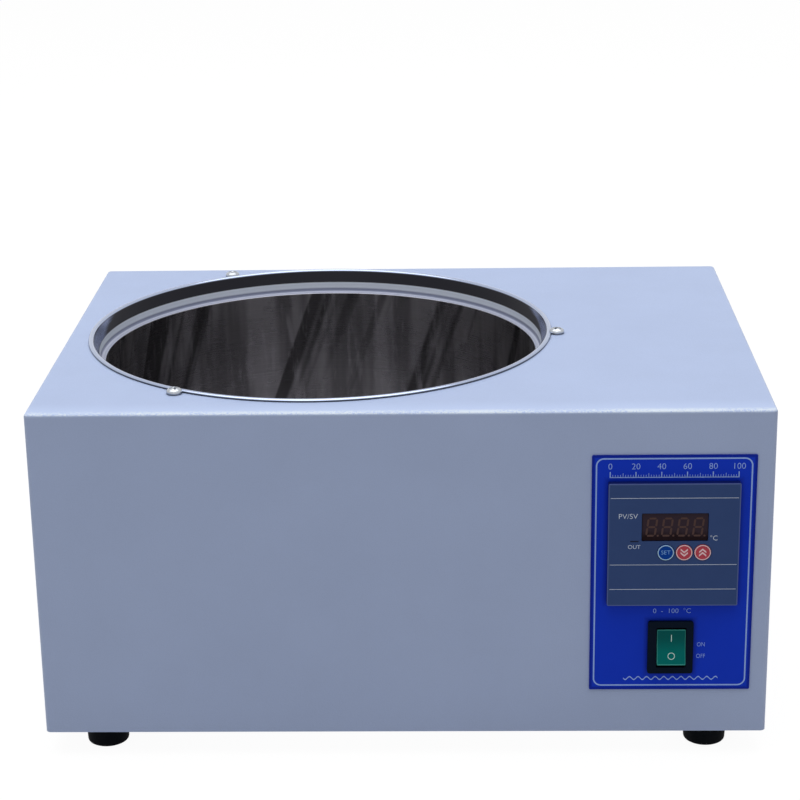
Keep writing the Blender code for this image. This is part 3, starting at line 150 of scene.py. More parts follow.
class Finish:
    def __init__(self, owner, shader, fixed):
        owner.use_nodes = True
        self.owner = owner
        self.tree = owner.node_tree
        self.shader = self.tree.nodes[shader]
        self.feed(fixed)

    def feed(self, values):
        for name, value in values.items():
            self.plug(self.shader.inputs[name], value)

    def skin(self, colour, **more):  # more: roughness, metallic or normal
        self.feed({"Base Color": colour} | {name.capitalize(): value for name, value in more.items()})
        return self

    def show(self, shader):  # in place of the one it began with
        self.tree.links.new(shader.socket, self.shader.outputs[0].links[0].to_socket)

    def plug(self, socket, value):
        if isinstance(value, Link):
            self.tree.links.new(value.socket, socket)
        elif isinstance(value, tuple) and socket.type == "RGBA":
            socket.default_value = (*value[:3], 1.0)
        else:
            socket.default_value = value

    def node(self, kind, settings, inputs, output=0):
        made = self.tree.nodes.new(kind)
        for name, value in settings.items():
            if name == "stops":  # a colour ramp's places and colours
                for i, (place, colour) in enumerate(value):
                    stop = made.color_ramp.elements[i] if i < 2 else made.color_ramp.elements.new(place)
                    stop.position = place
                    stop.color = (*colour, 1.0)
            else:
                setattr(made, name, value)
        for name, value in inputs.items():
            self.plug(made.inputs[name], value)
        return Link(self, made.outputs[output])

    def parts(self, vector):
        split = self.node("ShaderNodeSeparateXYZ", {}, {0: vector})
        return [Link(self, socket) for socket in split.socket.node.outputs]

    def join(self, x, y, z):
        return self.node("ShaderNodeCombineXYZ", {}, {0: x, 1: y, 2: z})

    def stretch(self, vector, amounts):
        return self.node("ShaderNodeVectorMath", {"operation": "MULTIPLY"}, {0: vector, 1: amounts})

    def noise(self, vector, scale, detail=2.0, rough=0.5):
        return self.node(
            "ShaderNodeTexNoise", {}, {"Vector": vector, "Scale": scale, "Detail": detail, "Roughness": rough}
        )

    def spots(self, vector, scale, output):
        return self.node("ShaderNodeTexVoronoi", {}, {"Vector": vector, "Scale": scale}, output)

    def ease(self, value, low, high, start=0.0, end=1.0):
        return self.node(
            "ShaderNodeMapRange",
            {"interpolation_type": "SMOOTHSTEP"},
            {"Value": value, "From Min": low, "From Max": high, "To Min": start, "To Max": end},
        )

    def blend(self, share, a, b):
        return self.node("ShaderNodeMix", {"data_type": "RGBA"}, {0: share, 6: a, 7: b}, 2)

    def ramp(self, value, stops):
        return self.node("ShaderNodeValToRGB", {"stops": stops}, {"Fac": value})

    def relief(self, height, depth, strength=1.0):
        return self.node("ShaderNodeBump", {}, {"Strength": strength, "Distance": depth, "Height": height})

    def seen(self):  # 1 where the camera, a reflection or a see-through piece looks, 0 for soft light
        sockets = self.node("ShaderNodeLightPath", {}, {}).socket.node.outputs
        straight, mirrored, through = (
            Link(self, sockets[f"Is {kind} Ray"]) for kind in ("Camera", "Glossy", "Transmission")
        )
        return straight.most(mirrored).most(through)


def newFinish(name, fixed):  # with the place of each point, which every finish goes by
    finish = Finish(bpy.data.materials.new(name), "Principled BSDF", fixed)
    return finish, finish.node("ShaderNodeTexCoord", {}, {}, "Object")


def tint(colour, amount):
    return tuple(min(1.0, part * amount) for part in colour)


def fromOutline(x, z, node):  # how far inside the edge of an upright plate a point lies
    low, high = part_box(node)
    return (x - low.x).least(high.x - x).least((z - low.z).least(high.z - z))


# Finishes: colours are linear, lengths are metres, scales are noise cells to the metre

paint = {
    "colour": (0.500, 0.598, 0.850),
    # the colour of the painted highlight's speckles along the front of the top
    "highlightColour": (0.84, 0.92, 1.0),
    "roughness": 0.46,
    "cloudScale": 22,
    "speckleScale": 1500,
    # noise scale of the painted highlight's speckles
    "highlightSpeckleScale": 640,
    "grainScale": 950,
    "grainDepth": 0.00009,
    "edgeWidth": 0.0026,
    "foldDepths": (0.0008, 0.0004),
    # widths of the painted highlight bands along the front of the top
    "frontHighlightWidths": (0.0014, 0.0070),
    "bendHighlightWidth": 0.022,
}


def casePaint():  # powder coat: fine orange peel, faint clouds, and a painted highlight along the front of the top, speckled near its edges
    finish, place = newFinish("casePaint", {"Specular IOR Level": 0.1})
    x, y, z = finish.parts(place)
    clouds = finish.noise(place, paint["cloudScale"], 4.0, 0.6)
    speckle = finish.noise(place, paint["speckleScale"], 1.0)
    fromTop, fromFront = caseHigh.z - z, y - caseLow.y
    fromSide = (x - caseLow.x).least(caseHigh.x - x)
    fromEnd = fromFront.least(caseHigh.y - y)
    folded = fromTop.most(fromSide.least(fromEnd))
    # painted highlight: a speckled band along the front edge of the top and a paler band near the fold, for
    # light caught by the rounded edge
    edge = 1 - finish.ease(fromSide.most(fromEnd).least(folded), 0.0, paint["edgeWidth"])
    onTop = finish.ease(fromTop, *paint["foldDepths"])
    wearAndHighlight = (1 - finish.ease(fromFront, *paint["frontHighlightWidths"])) * onTop
    pale = (1 - finish.ease(fromFront, 0.0, paint["bendHighlightWidth"])) * onTop
    highlightSpeckle = finish.noise(place, paint["highlightSpeckleScale"], 4.0, 0.8) + (clouds - 0.5) * 0.35
    speckledHighlight = (edge * 0.2).most(wearAndHighlight) * finish.ease(highlightSpeckle, 0.42, 0.52)
    colour = finish.blend(clouds, tint(paint["colour"], 0.95), tint(paint["colour"], 1.05))
    colour = finish.blend(finish.ease(speckle, 0.35, 0.75, 0.0, 0.10), colour, tint(paint["colour"], 0.7))
    colour = finish.blend(pale * 0.7, colour, tint(paint["colour"], 1.2))
    colour = finish.blend(speckledHighlight * 0.8, colour, paint["highlightColour"])
    return finish.skin(
        colour, roughness=paint["roughness"] + (speckle - 0.5) * 0.15,
        normal=finish.relief(finish.noise(place, paint["grainScale"], 2.0), paint["grainDepth"], 0.7),
    )


tankSize = {  # the tank's section, which makeTank spins and tankSteel paints
    "radius": 0.1315,
    "depth": 0.150,
    "wall": 0.0008,
    "fillet": 0.012,
    "ledge": 0.0031,
    "ledgeDrop": 0.0128,
    "ledgeCorner": 0.0018,
    "step": 0.0004,
    "stepDrop": 0.0062,
    "lipRadius": 0.0016,
    "lipRise": 0.0005,
    "lipFlatness": 0.75,
    "lipStart": 160,
    "foot": 0.0003,
    "soft": 0.0004,
    "steps": 192,
    "legHole": 0.0046,
    "drainHole": 0.0045,
    "drainAt": 0.0915,
}
# the tank's colours: the rim's bands, the wall's folds and streaks and the dark shade under the lip are
# painted reflections, highlights and shadow
steel = {
    "wall": (0.47, 0.455, 0.48),
    "floor": (0.42, 0.42, 0.43),
    "ledge": (0.42, 0.45, 0.56),
    "corner": (0.62, 0.66, 0.80),
    "stripe": (0.29, 0.32, 0.45),
    "step": (0.80, 0.87, 1.0),
    "slope": (0.009, 0.009, 0.015),
    "slopeSide": (0.17, 0.21, 0.36),
    "lip": (0.42, 0.48, 0.64),
    "streakReflection": (0.62, 0.60, 0.64),
    "shade": (0.01, 0.012, 0.018),
    "roughness": 0.16,
    "bands": (
        (-0.0003, "wall"), (0.0001, "ledge"), (0.0016, "ledge"), (0.0030, "corner"), (0.0037, "stripe"),
        (0.0054, "stripe"), (0.0064, "step"), (0.0098, "step"), (0.0103, "slope"), (0.0196, "slope"),
        (0.0204, "lip"),
    ),
    "bandsFrom": -0.001,
    "bandsLength": 0.025,
    "slopeFoot": (0.0100, 0.0105),
    "slopeClimb": (0.0103, 0.0196),
    "slopeTop": (0.0192, 0.0200),
    "wallTop": (-0.0004, 0.0),
    "satinFoot": (-0.0001, 0.0002),
    "satinTop": (0.0099, 0.0103),
    "floorRise": (0.006, 0.016),
    "lipUnder": (0.0009, 0.0003),
    "lipOver": (0.0007, 0.0012),
}


def tankSteel():  # spun sheet: each band of the rim has its own polish and a painted reflection, the lip a painted shadow beneath it, and the wall painted reflections in folds and streaks
    finish, place = newFinish("tankSteel", {"Specular IOR Level": 0.2})
    x, y, z = finish.parts(place)
    across, along = x - bath.x, y - bath.y
    reach = (across ** 2 + along ** 2) ** 0.5
    angle = across.sum("ARCTAN2", along, across)
    lines = finish.noise(finish.join(reach, z, 0.0), 2600, 3.0, 0.6)
    broad = finish.noise(finish.join(angle * 0.9, z * 0.6, 0.0), 7, 3.0, 0.55)
    reflectedStreaks = finish.noise(finish.join(angle * 1.2, z * 1.5, reach), 18, 4.0, 0.6)
    patches = finish.noise(finish.join(angle * 0.12, z, reach), 35, 3.0, 0.6)
    reflectedFolds = finish.noise(finish.join(angle * 3.2 + z * 9.0, z * 0.8, 0.0), 2.2, 2.0, 0.5)
    seat = caseHigh.z - tankSize["ledgeDrop"]
    way = reach - tankSize["radius"] + z - seat  # runs along the section, up and out from the ledge
    start, length = steel["bandsFrom"], steel["bandsLength"]
    # painted reflections: each band of the rim is coloured for what it reflects, a bright ledge and step, a
    # dark slope and a grey lip
    stops = [((at - start) / length, steel[band]) for at, band in steel["bands"]]
    colour = finish.ramp((way - start) / length, stops)

    # painted reflection: the slope is dark, and blue-grey towards its sides
    onSlope = finish.ease(way, *steel["slopeFoot"]) * (1 - finish.ease(way, *steel["slopeTop"]))
    climb = finish.ease(way, *steel["slopeClimb"])
    turn, side = along / reach, across / reach
    aside = turn.most(turn * -0.5) + side * 0.015 - climb * (side * 0.0625 + 0.2175)
    sideways = 1 - finish.ease(aside + (broad - 0.5) * 0.03 + (lines - 0.5) * 0.12, 0.0, 0.11)
    colour = finish.blend(onSlope * sideways, colour, steel["slopeSide"])

    low = 1 - finish.ease(z, *(tankLow.z + rise for rise in steel["floorRise"]))
    colour = finish.blend(low, colour, steel["floor"])
    wall = (1 - finish.ease(way, *steel["wallTop"])) * (1 - low)
    # painted reflections on the wall: broad dark patches, dark folds and pale streaks
    for share, shade in (
        (finish.ease(broad, 0.38, 0.60, 0.80, 0.0), tint(steel["wall"], 0.4)),
        (finish.ease(reflectedFolds, 0.36, 0.45, 0.85, 0.0), tint(steel["wall"], 0.16)),
        (finish.ease(reflectedStreaks, 0.50, 0.75, 0.0, 0.6), steel["streakReflection"]),
    ):
        colour = finish.blend(wall * share, colour, shade)
    dull = finish.stretch(colour, (0.6, 0.6, 0.62))
    colour = finish.blend(finish.ease(lines, 0.35, 0.7, 0.0, 0.45), colour, dull)
    # painted shadow under the outer edge of the lip, where it meets the case
    lipShadow = finish.ease(reach, *(tankHigh.x - bath.x - width for width in steel["lipUnder"]))
    lipShadow = lipShadow * (1 - finish.ease(z, *(caseHigh.z + rise for rise in steel["lipOver"])))
    colour = finish.blend(lipShadow * 0.85, colour, steel["shade"])

    satin = finish.ease(way, *steel["satinFoot"]) * (1 - finish.ease(way, *steel["satinTop"]))
    shaded = onSlope * (1 - sideways * 0.7)
    roughness = steel["roughness"] + (lines - 0.5) * 0.10 + (patches - 0.5) * 0.14 + wall * 0.12
    roughness = roughness + (satin + shaded) * 0.30
    return finish.skin(
        colour, metallic=1 - satin * 0.92 - shaded * 0.85, roughness=roughness.most(0.05),
        normal=finish.relief(lines + patches * 0.5, 0.00002, 0.5),
    )


def metal(name, colour, roughness, grain, stretch, dull=0.75):  # a small stretch gives long scratches
    finish, place = newFinish(name, {"Metallic": 1.0})
    scratches = finish.noise(finish.stretch(place, stretch), grain, 3.0, 0.65)
    patches = finish.noise(place, 90, 3.0, 0.6)
    marks = finish.ease(finish.spots(place, 260, "Distance"), 0.0, 0.35)
    wearAndHighlight = finish.blend(finish.ease(patches, 0.35, 0.7), tint(colour, dull), tint(colour, 1.08))
    wearAndHighlight = finish.blend(finish.ease(scratches, 0.4, 0.8, 0.0, 0.4), wearAndHighlight, tint(colour, 0.6))
    # painted shade in screw recesses and round the foot of their heads
    recessShade = finish.node("ShaderNodeAttribute", {"attribute_name": "recessShade"}, {}, "Fac")
    return finish.skin(
        finish.blend(recessShade * 0.93, wearAndHighlight, (0.01, 0.01, 0.012)),
        roughness=roughness + (scratches - 0.5) * 0.22 + (patches - 0.5) * 0.15 + (1 - marks) * 0.04,
        normal=finish.relief(scratches, 0.00002, 0.6),
    )


def galvanised():  # zinc flakes on sheet steel
    finish, place = newFinish("galvanisedSheet", {"Metallic": 0.9})
    tone, shine, _ = finish.parts(finish.spots(place, 160, "Color"))
    colour = finish.blend(tone, (0.34, 0.36, 0.38), (0.62, 0.64, 0.66))
    return finish.skin(
        finish.blend(finish.noise(place, 40, 3.0) * 0.4, colour, (0.42, 0.43, 0.44)),
        roughness=0.34 + shine * 0.22, normal=finish.relief(tone, 0.00002, 0.4),
    )


def plastic(name, colour, roughness, shine=0.15):  # moulded: spark grain, faint flow marks, dust in the grain
    finish, place = newFinish(name, {"Specular IOR Level": shine})
    fine = finish.noise(place, 2600, 2.0)
    flow = finish.noise(finish.stretch(place, (1.0, 1.0, 0.4)), 70, 3.0, 0.6)
    dust = finish.ease(finish.noise(place, 300, 3.0, 0.7), 0.55, 0.8)
    dusty = tuple(part * 0.9 + 0.012 for part in colour)
    mixed = finish.blend(flow, tint(colour, 0.86), tint(colour, 1.14))
    return finish.skin(
        finish.blend(dust * 0.10, mixed, dusty), roughness=roughness + (fine - 0.5) * 0.16 + dust * 0.06,
        normal=finish.relief(fine, 0.00002, 0.6),
    )


def rubber():  # matt, with a greyish bloom
    finish, place = newFinish("footRubber", {"Specular IOR Level": 0.04})
    fine = finish.noise(place, 1400, 3.0)
    bloom = finish.ease(finish.noise(place, 120, 3.0, 0.7), 0.4, 0.75)
    return finish.skin(
        finish.blend(bloom * 0.5, (0.004, 0.005, 0.007), (0.012, 0.013, 0.016)),
        roughness=0.70 + (fine - 0.5) * 0.2, normal=finish.relief(fine, 0.00006, 0.7),
    )


def wool():  # tufts with fine hairs across them
    finish, place = newFinish("insulationWool", {"Roughness": 0.95, "Specular IOR Level": 0.1})
    tufts = finish.noise(finish.stretch(place, (1.0, 1.0, 2.2)), 150, 5.0, 0.7)
    hairs = finish.noise(finish.stretch(place, (1.0, 1.0, 5.0)), 900, 2.0)
    colour = finish.blend(finish.ease(tufts, 0.3, 0.7), (0.50, 0.46, 0.34), (0.82, 0.78, 0.66))
    return finish.skin(
        finish.blend(hairs * 0.4, colour, (0.88, 0.85, 0.76)),
        normal=finish.relief(tufts + hairs * 0.3, 0.0012, 0.8),
    )


def board():  # green lacquer over copper tracks
    finish, place = newFinish("boardGreen", {"Coat Weight": 0.3, "Coat Roughness": 0.15})
    cells = finish.node("ShaderNodeTexBrick", {}, {
        "Vector": place, "Scale": 120.0, "Mortar Size": 0.012,
        "Color1": (0.012, 0.12, 0.05), "Color2": (0.018, 0.17, 0.07), "Mortar": (0.05, 0.28, 0.12),
    })
    shade = finish.noise(place, 60, 3.0)
    colour = finish.blend(shade * 0.4, cells, (0.010, 0.09, 0.04))
    return finish.skin(colour, roughness=0.4 + (shade - 0.5) * 0.2)


label = {
    "colour": (0.004, 0.045, 0.66),
    "deep": (0.002, 0.020, 0.38),
    "rim": (0.0009, 0.0022),
    "shadeWidth": 0.0030,
}


def labelBlue():  # screen-printed foil: deeper towards its edges, with a painted shadow along what stands proud of it
    finish, place = newFinish("labelBlue", {"Specular IOR Level": 0.12})
    x, _, z = finish.parts(place)
    fine = finish.noise(place, 1800, 2.0)
    clouds = finish.noise(place, 35, 3.0, 0.6)
    colour = finish.blend(clouds, tint(label["colour"], 0.92), tint(label["colour"], 1.06))
    margin = fromOutline(x, z, "label_plate")
    colour = finish.blend(1 - finish.ease(margin, *label["rim"]), colour, label["deep"])
    # painted shadow cast by the bezel and the switch surround
    for node in ("controller_bezel", "switch_body"):
        _, corner, at = extent(node)
        away = (abs(x - at.x) - (corner - at).x).most(abs(z - at.z) - (corner - at).z)
        colour = finish.blend((1 - finish.ease(away, 0.0, label["shadeWidth"])) * 0.6, colour, label["deep"])
    return finish.skin(colour, roughness=0.42 + (fine - 0.5) * 0.12, normal=finish.relief(fine, 0.000012, 0.5))


slate = {
    "dark": (0.035, 0.071, 0.203),
    "light": (0.043, 0.084, 0.230),
    "rim": (0.105, 0.150, 0.36),
    "rimHighlightWidths": (0.0003, 0.0008),
    "side": (0.004, 0.010, 0.10),
    "sideShadeDepths": (0.0003, 0.0006),
}


def slatePlastic():  # the controller's face: a painted highlight along its rim, painted shade down its sides
    finish, place = newFinish("slatePlastic", {"Specular IOR Level": 0.12})
    x, y, z = finish.parts(place)
    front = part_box("controller_bezel")[0].y
    fine = finish.noise(place, 2200, 2.0)
    colour = finish.blend(finish.noise(place, 60, 3.0, 0.6), slate["dark"], slate["light"])
    margin = fromOutline(x, z, "controller_bezel")
    # painted highlight along the rim of the face
    colour = finish.blend(1 - finish.ease(margin, *slate["rimHighlightWidths"]), colour, slate["rim"])
    # painted shade on the faces behind the front
    colour = finish.blend(finish.ease(y - front, *slate["sideShadeDepths"]), colour, slate["side"])
    return finish.skin(colour, roughness=0.42 + (fine - 0.5) * 0.14, normal=finish.relief(fine, 0.00003, 0.6))


def displayPane():  # dark red acrylic, almost black along its foot
    finish, place = newFinish("displayPane", {"Roughness": 0.15, "Specular IOR Level": 0.04})
    z = finish.parts(place)[2]
    low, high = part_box("display_window")
    height = (z - low.z) / (high.z - low.z)
    haze = finish.noise(finish.stretch(place, (1.0, 1.0, 0.5)), 240, 3.0, 0.6)
    rise = finish.ease(height + (haze - 0.5) * 0.4, 0.10, 0.42)
    colour = finish.blend(rise, (0.014, 0.005, 0.007), (0.044, 0.028, 0.040))
    return finish.skin(finish.blend(haze * 0.2, colour, (0.040, 0.020, 0.026)))


rocker = {
    "green": (0.001, 0.180, 0.162),
    # the darker colour is painted shade over the upper half, the line colour painted highlights along the
    # edges
    "dark": (0.001, 0.112, 0.105),
    "line": (0.14, 0.70, 0.58),
    "topShade": (-0.004, 0.007),
    "sideHighlight": (0.0074, 0.0078),
    "topHighlight": (0.0097, 0.0101),
    "footHighlight": (-0.0101, -0.0096),
    "outline": ((-0.0055, 0.0104), (-0.0046, 0.0), (-0.0055, -0.0104), (0.0040, -0.0080), (0.0040, 0.0080)),
    "width": 0.0159,
    "aside": 0.0004,
    "tilt": -8,
    "valley": 0.003,
    "soft": 0.0004,
    "onMark": (0.00040, 0.0040),
    "onRise": 0.0053,
    "offMark": (0.0020, 0.00164),
    "offRise": -0.0051,
}
rockerAxis = Vector(joints["rocker_tilt"]["pos_m"])
rockerPlace = Matrix.Translation(rockerAxis) @ turned(rocker["tilt"], "X")


def rockerGreen():  # clear-tinted plastic, with painted highlights along its moulded edges, brightest at its foot, and painted shade over its upper half
    finish, place = newFinish("rockerGreen", {"Specular IOR Level": 0.04})
    x, y, z = finish.parts(place)
    tilt = math.radians(rocker["tilt"])
    along = (z - rockerAxis.z) * math.cos(tilt) - (y - rockerAxis.y) * math.sin(tilt)
    aside = abs(x - rockerAxis.x - rocker["aside"])
    # painted highlights along the edges, brightest at the foot
    edge = finish.ease(aside, *rocker["sideHighlight"]).most(finish.ease(along, *rocker["topHighlight"])) * 0.5
    edge = edge.most(finish.ease(along, *rocker["footHighlight"], 1.0, 0.0))
    flow = finish.noise(place, 300, 3.0, 0.6)
    # painted shade over the upper half, under the surround's lip
    colour = finish.blend(finish.ease(along, *rocker["topShade"]), rocker["green"], rocker["dark"])
    colour = finish.blend(edge * (0.45 + flow * 0.5), colour, rocker["line"])
    return finish.skin(colour, roughness=0.22 + (flow - 0.5) * 0.15)


def ink(name, colour, patchy=0.3):  # screen print, slightly uneven
    finish, place = newFinish(name, {"Specular IOR Level": 0.15})
    cover = finish.noise(place, 1200, 3.0, 0.7)
    return finish.skin(
        finish.blend(finish.ease(cover, 0.35, 0.8) * patchy, colour, tint(colour, 0.8)),
        roughness=0.45 + (cover - 0.5) * 0.2,
    )


finishes = {
    "case_paint": casePaint(),
    "polished_steel": tankSteel(),
    "plated_steel": metal("platedSteel", (0.50, 0.53, 0.58), 0.26, 700, (1.0, 1.0, 1.0)),
    "brushed_steel": metal("brushedSteel", (0.40, 0.40, 0.42), 0.34, 900, (0.08, 1.0, 1.0)),
    "galvanised_sheet": galvanised(),
    "brass": metal("castBrass", (0.74, 0.52, 0.22), 0.30, 800, (1.0, 0.15, 1.0), 0.6),
    "black_rubber": rubber(),
    "black_plastic": plastic("blackPlastic", (0.002, 0.007, 0.018), 0.38, 0.04),
    "insulation_wool": wool(),
    "label_blue": labelBlue(),
    "slate_plastic": slatePlastic(),
    "board_green": board(),
    "display_red": displayPane(),
    "key_navy": plastic("keyNavy", (0.004, 0.060, 0.36), 0.42, 0.05),
    "key_red": plastic("keyRed", (0.58, 0.075, 0.105), 0.42, 0.08),
    "rocker_green": rockerGreen(),
    "wire_red": plastic("wireRed", (0.55, 0.02, 0.02), 0.45),
    "wire_grey": plastic("wireGrey", (0.18, 0.18, 0.19), 0.50),
}
inks = {
    "lavender": ink("lavenderInk", (0.38, 0.56, 1.0), 0.15),
    "night": ink("nightInk", (0.003, 0.006, 0.022)),
    "pale": ink("paleInk", (0.80, 0.88, 1.0), 0.15),
    "thinLine": ink("thinLineInk", (0.80, 0.88, 1.0)),
    "mint": ink("mintInk", (0.76, 1.0, 0.93), 0.1),
    "rose": ink("roseInk", (1.0, 0.72, 0.75)),
    "sky": ink("skyInk", (0.28, 0.56, 1.0), 0.1),
    "ice": ink("iceInk", (0.52, 0.78, 1.0)),
    "segment": ink("unlitSegment", (0.088, 0.046, 0.040)),
}
print(f"{len(finishes) + len(inks)} finishes made")


# Mesh helpers: outlines are drawn flat in x and y, given a thickness upwards, and then put in their place

fineStep = 0.0001  # points closer than this count as level


def bevel(bm, geom, offset, steps, affect, clamped=False):
    bmesh.ops.bevel(
        bm, geom=geom, offset=offset, affect=affect, segments=steps, profile=0.5, material=-1,
        clamp_overlap=clamped,
    )


def rectangle(bm, width, height, corner=0.0, centre=(0, 0), steps=5, rounded=None):
    matrix = Matrix.Translation((*centre, 0)) @ Matrix.Diagonal((width / 2, height / 2, 1, 1))
    verts = bmesh.ops.create_grid(bm, x_segments=1, y_segments=1, size=1, matrix=matrix)["verts"]
    if corner:
        bevel(bm, [vert for vert in verts if rounded is None or rounded(vert.co)], corner, steps, "VERTICES")


def circle(bm, radius, centre=(0, 0), steps=48):
    matrix = Matrix.Translation((*centre, 0))
    bmesh.ops.create_circle(bm, cap_ends=True, segments=steps, radius=radius, matrix=matrix)


def fill(bm, edges, **more):  # an outline inside another becomes a hole
    bmesh.ops.triangle_fill(bm, edges=edges, use_beauty=True, use_dissolve=False, **more)


def fillOutlines(bm):
    bmesh.ops.delete(bm, geom=bm.faces[:], context="FACES_ONLY")
    fill(bm, bm.edges[:])


def only(geom, kind):  # kind: Vert, Edge or Face
    return [item for item in geom if isinstance(item, getattr(bmesh.types, f"BM{kind}"))]


def raiseFaces(bm, height, faces=None):
    grown = bmesh.ops.extrude_face_region(bm, geom=faces or bm.faces[:])["geom"]
    bmesh.ops.translate(bm, verts=only(grown, "Vert"), vec=(0, 0, height))
    return only(grown, "Face")


def soften(bm, offset, steps=3, sharper=40, where=None):  # rounds edges that turn more than those degrees
    bmesh.ops.recalc_face_normals(bm, faces=bm.faces[:])
    limit = math.radians(sharper)
    edges = [e for e in bm.edges if len(e.link_faces) == 2 and e.calc_face_angle() > limit]
    edges = [e for e in edges if where is None or all(where(vert.co) for vert in e.verts)]
    bevel(bm, edges, offset, steps, "EDGES", clamped=True)


def thicken(bm, thickness, soft=0.0, steps=3):  # rounds the edges of the upper face
    fillOutlines(bm)
    raiseFaces(bm, thickness)
    if soft:
        soften(bm, soft, steps, where=lambda point: point.z > thickness - 0.000001)


def sweep(bm, geom, centre, axis, angle, steps, merged=False):
    return bmesh.ops.spin(
        bm, geom=geom, cent=centre, axis=axis, angle=angle, steps=steps, use_merge=merged, use_duplicate=False
    )["geom_last"]


def spinRound(bm, geom, steps):
    sweep(bm, geom, (0, 0, 0), (0, 0, 1), math.tau, steps, merged=True)
    bmesh.ops.remove_doubles(bm, verts=bm.verts[:], dist=0.000002)


def lathe(profile, steps=96, closed=False):
    bm = bmesh.new()
    verts = [bm.verts.new((reach, 0, height)) for reach, height in profile]
    edges = [bm.edges.new(pair) for pair in zip(verts, verts[1:])]
    if closed:
        edges.append(bm.edges.new((verts[-1], verts[0])))
    spinRound(bm, verts + edges, steps)
    return bm


def put(bm, matrix):
    bmesh.ops.transform(bm, matrix=matrix, verts=bm.verts[:])
    return bm


def lifted(bm, height):
    return put(bm, Matrix.Translation((0, 0, height)))


def facing(centre, y, turn=frontTurn):  # where a drawing stands upright at y and faces the front, or the back
    return Matrix.Translation((centre.x, y, centre.z)) @ turn


def lying(at, z):  # where a drawing lies flat at z
    return Matrix.Translation((at.x, at.y, z))


def add(bm, other):  # adds another bmesh's shape to this one
    mesh = bpy.data.meshes.new("added")
    other.to_mesh(mesh)
    other.free()
    bm.from_mesh(mesh)
    bpy.data.meshes.remove(mesh)
    return bm


def pieceOf(name, bm, finish, body, node=None, wall=0.0, crease=34):
    if not wall:
        bmesh.ops.recalc_face_normals(bm, faces=bm.faces[:])
    mesh = bpy.data.meshes.new(name)
    bm.to_mesh(mesh)
    bm.free()
    mesh.shade_smooth()
    mesh.set_sharp_from_angle(angle=math.radians(crease))
    mesh.materials.append((finishes.get(finish) or inks[finish]).owner)
    thing = newObject(name, mesh)
    if wall:
        sheet = thing.modifiers.new("sheet", "SOLIDIFY")
        sheet.thickness = wall
        sheet.offset = -1
        sheet.use_even_offset = True
    even = thing.modifiers.new("evenShading", "WEIGHTED_NORMAL")
    even.keep_sharp = True
    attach(thing, body)
    if node:
        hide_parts(node)


def smoothCopy(node, finish):  # a CAD node with merged points and smooth shading
    bm = bmesh.new()
    bm.from_mesh(frame["nodes"][node].data)
    bmesh.ops.remove_doubles(bm, verts=bm.verts[:], dist=0.000005)
    bmesh.ops.dissolve_degenerate(bm, edges=bm.edges[:], dist=0.000001)
    pieceOf(f"{node}_smooth", bm, finish, "root", node)


def lettering(bm, words, size, centre, squeeze=1.0):
    curve = bpy.data.curves.new("lettering", "FONT")
    curve.body = words
    curve.size = size
    curve.resolution_u = 4
    curve.align_x = "CENTER"
    curve.align_y = "CENTER"
    curve.offset = -0.011 * size  # thinner strokes than the font's own
    holder = newObject("lettering", curve)
    bpy.context.view_layer.update()
    mesh = bpy.data.meshes.new_from_object(holder)
    mesh.transform(Matrix.Translation((*centre, 0)) @ Matrix.Diagonal((squeeze, 1, 1, 1)))
    bm.from_mesh(mesh)
    bpy.data.objects.remove(holder)
    bpy.data.curves.remove(curve)
    bpy.data.meshes.remove(mesh)


def printed(name, bm, finish, body, matrix, thickness=0.00004):
    bmesh.ops.remove_doubles(bm, verts=bm.verts[:], dist=0.000001)
    raiseFaces(bm, thickness * 2)
    pieceOf(name, put(lifted(bm, -thickness), matrix), finish, body)


# Case: a folded sheet with rounded edges, open below, with its cut-outs

case = {
    "corner": 0.0030,
    "edge": 0.0014,
    "sheet": 0.0012,
    "bathHole": 0.139077,
    "screwHole": 0.0022,
    "controllerHole": (0.0682, 0.0682),
    "switchHole": (0.0228, 0.0292),
    "inletHole": (0.0287, 0.0212, 0.001),
    "inletScrews": 0.019,
    "inletScrewHole": 0.0017,
    "fuseHole": 0.0068,
    "pipeHole": 0.0066,
    "airSlot": (0.003, 0.028, 0.0014),
    "airSlotsAt": (-3, -2, -1, 0, 1, 2, 3),
    "airSlotPitch": 0.008,
    "airSlotRise": 0.040,
}


def fillRound(bm, edges, before, normal):  # fills a flat face again, round the holes drawn since then
    fill(bm, edges + [edge for edge in bm.edges if edge not in before], normal=normal)


def pierce(bm, direction, turn, drawing):  # cuts a drawing's outlines out of the face that looks that way
    bm.normal_update()
    direction = Vector(direction)
    face = max(bm.faces, key=lambda f: f.normal.dot(direction) * f.calc_area())
    plane = face.calc_center_median().dot(direction)
    edges = list(face.edges)
    bmesh.ops.delete(bm, geom=[face], context="FACES_ONLY")
    put(drawing, Matrix.Translation(direction * plane) @ turn)
    bmesh.ops.delete(drawing, geom=drawing.faces[:], context="FACES_ONLY")
    before = set(bm.edges)
    add(bm, drawing)
    fillRound(bm, edges, before, direction)


def frontHoles(bm, origin):  # the controller's and the switch's cut-outs, drawn from that point
    for node, hole in (("controller_bezel", "controllerHole"), ("switch_body", "switchHole")):
        at = middle(node) - origin
        rectangle(bm, *case[hole], centre=(at.x, at.z))


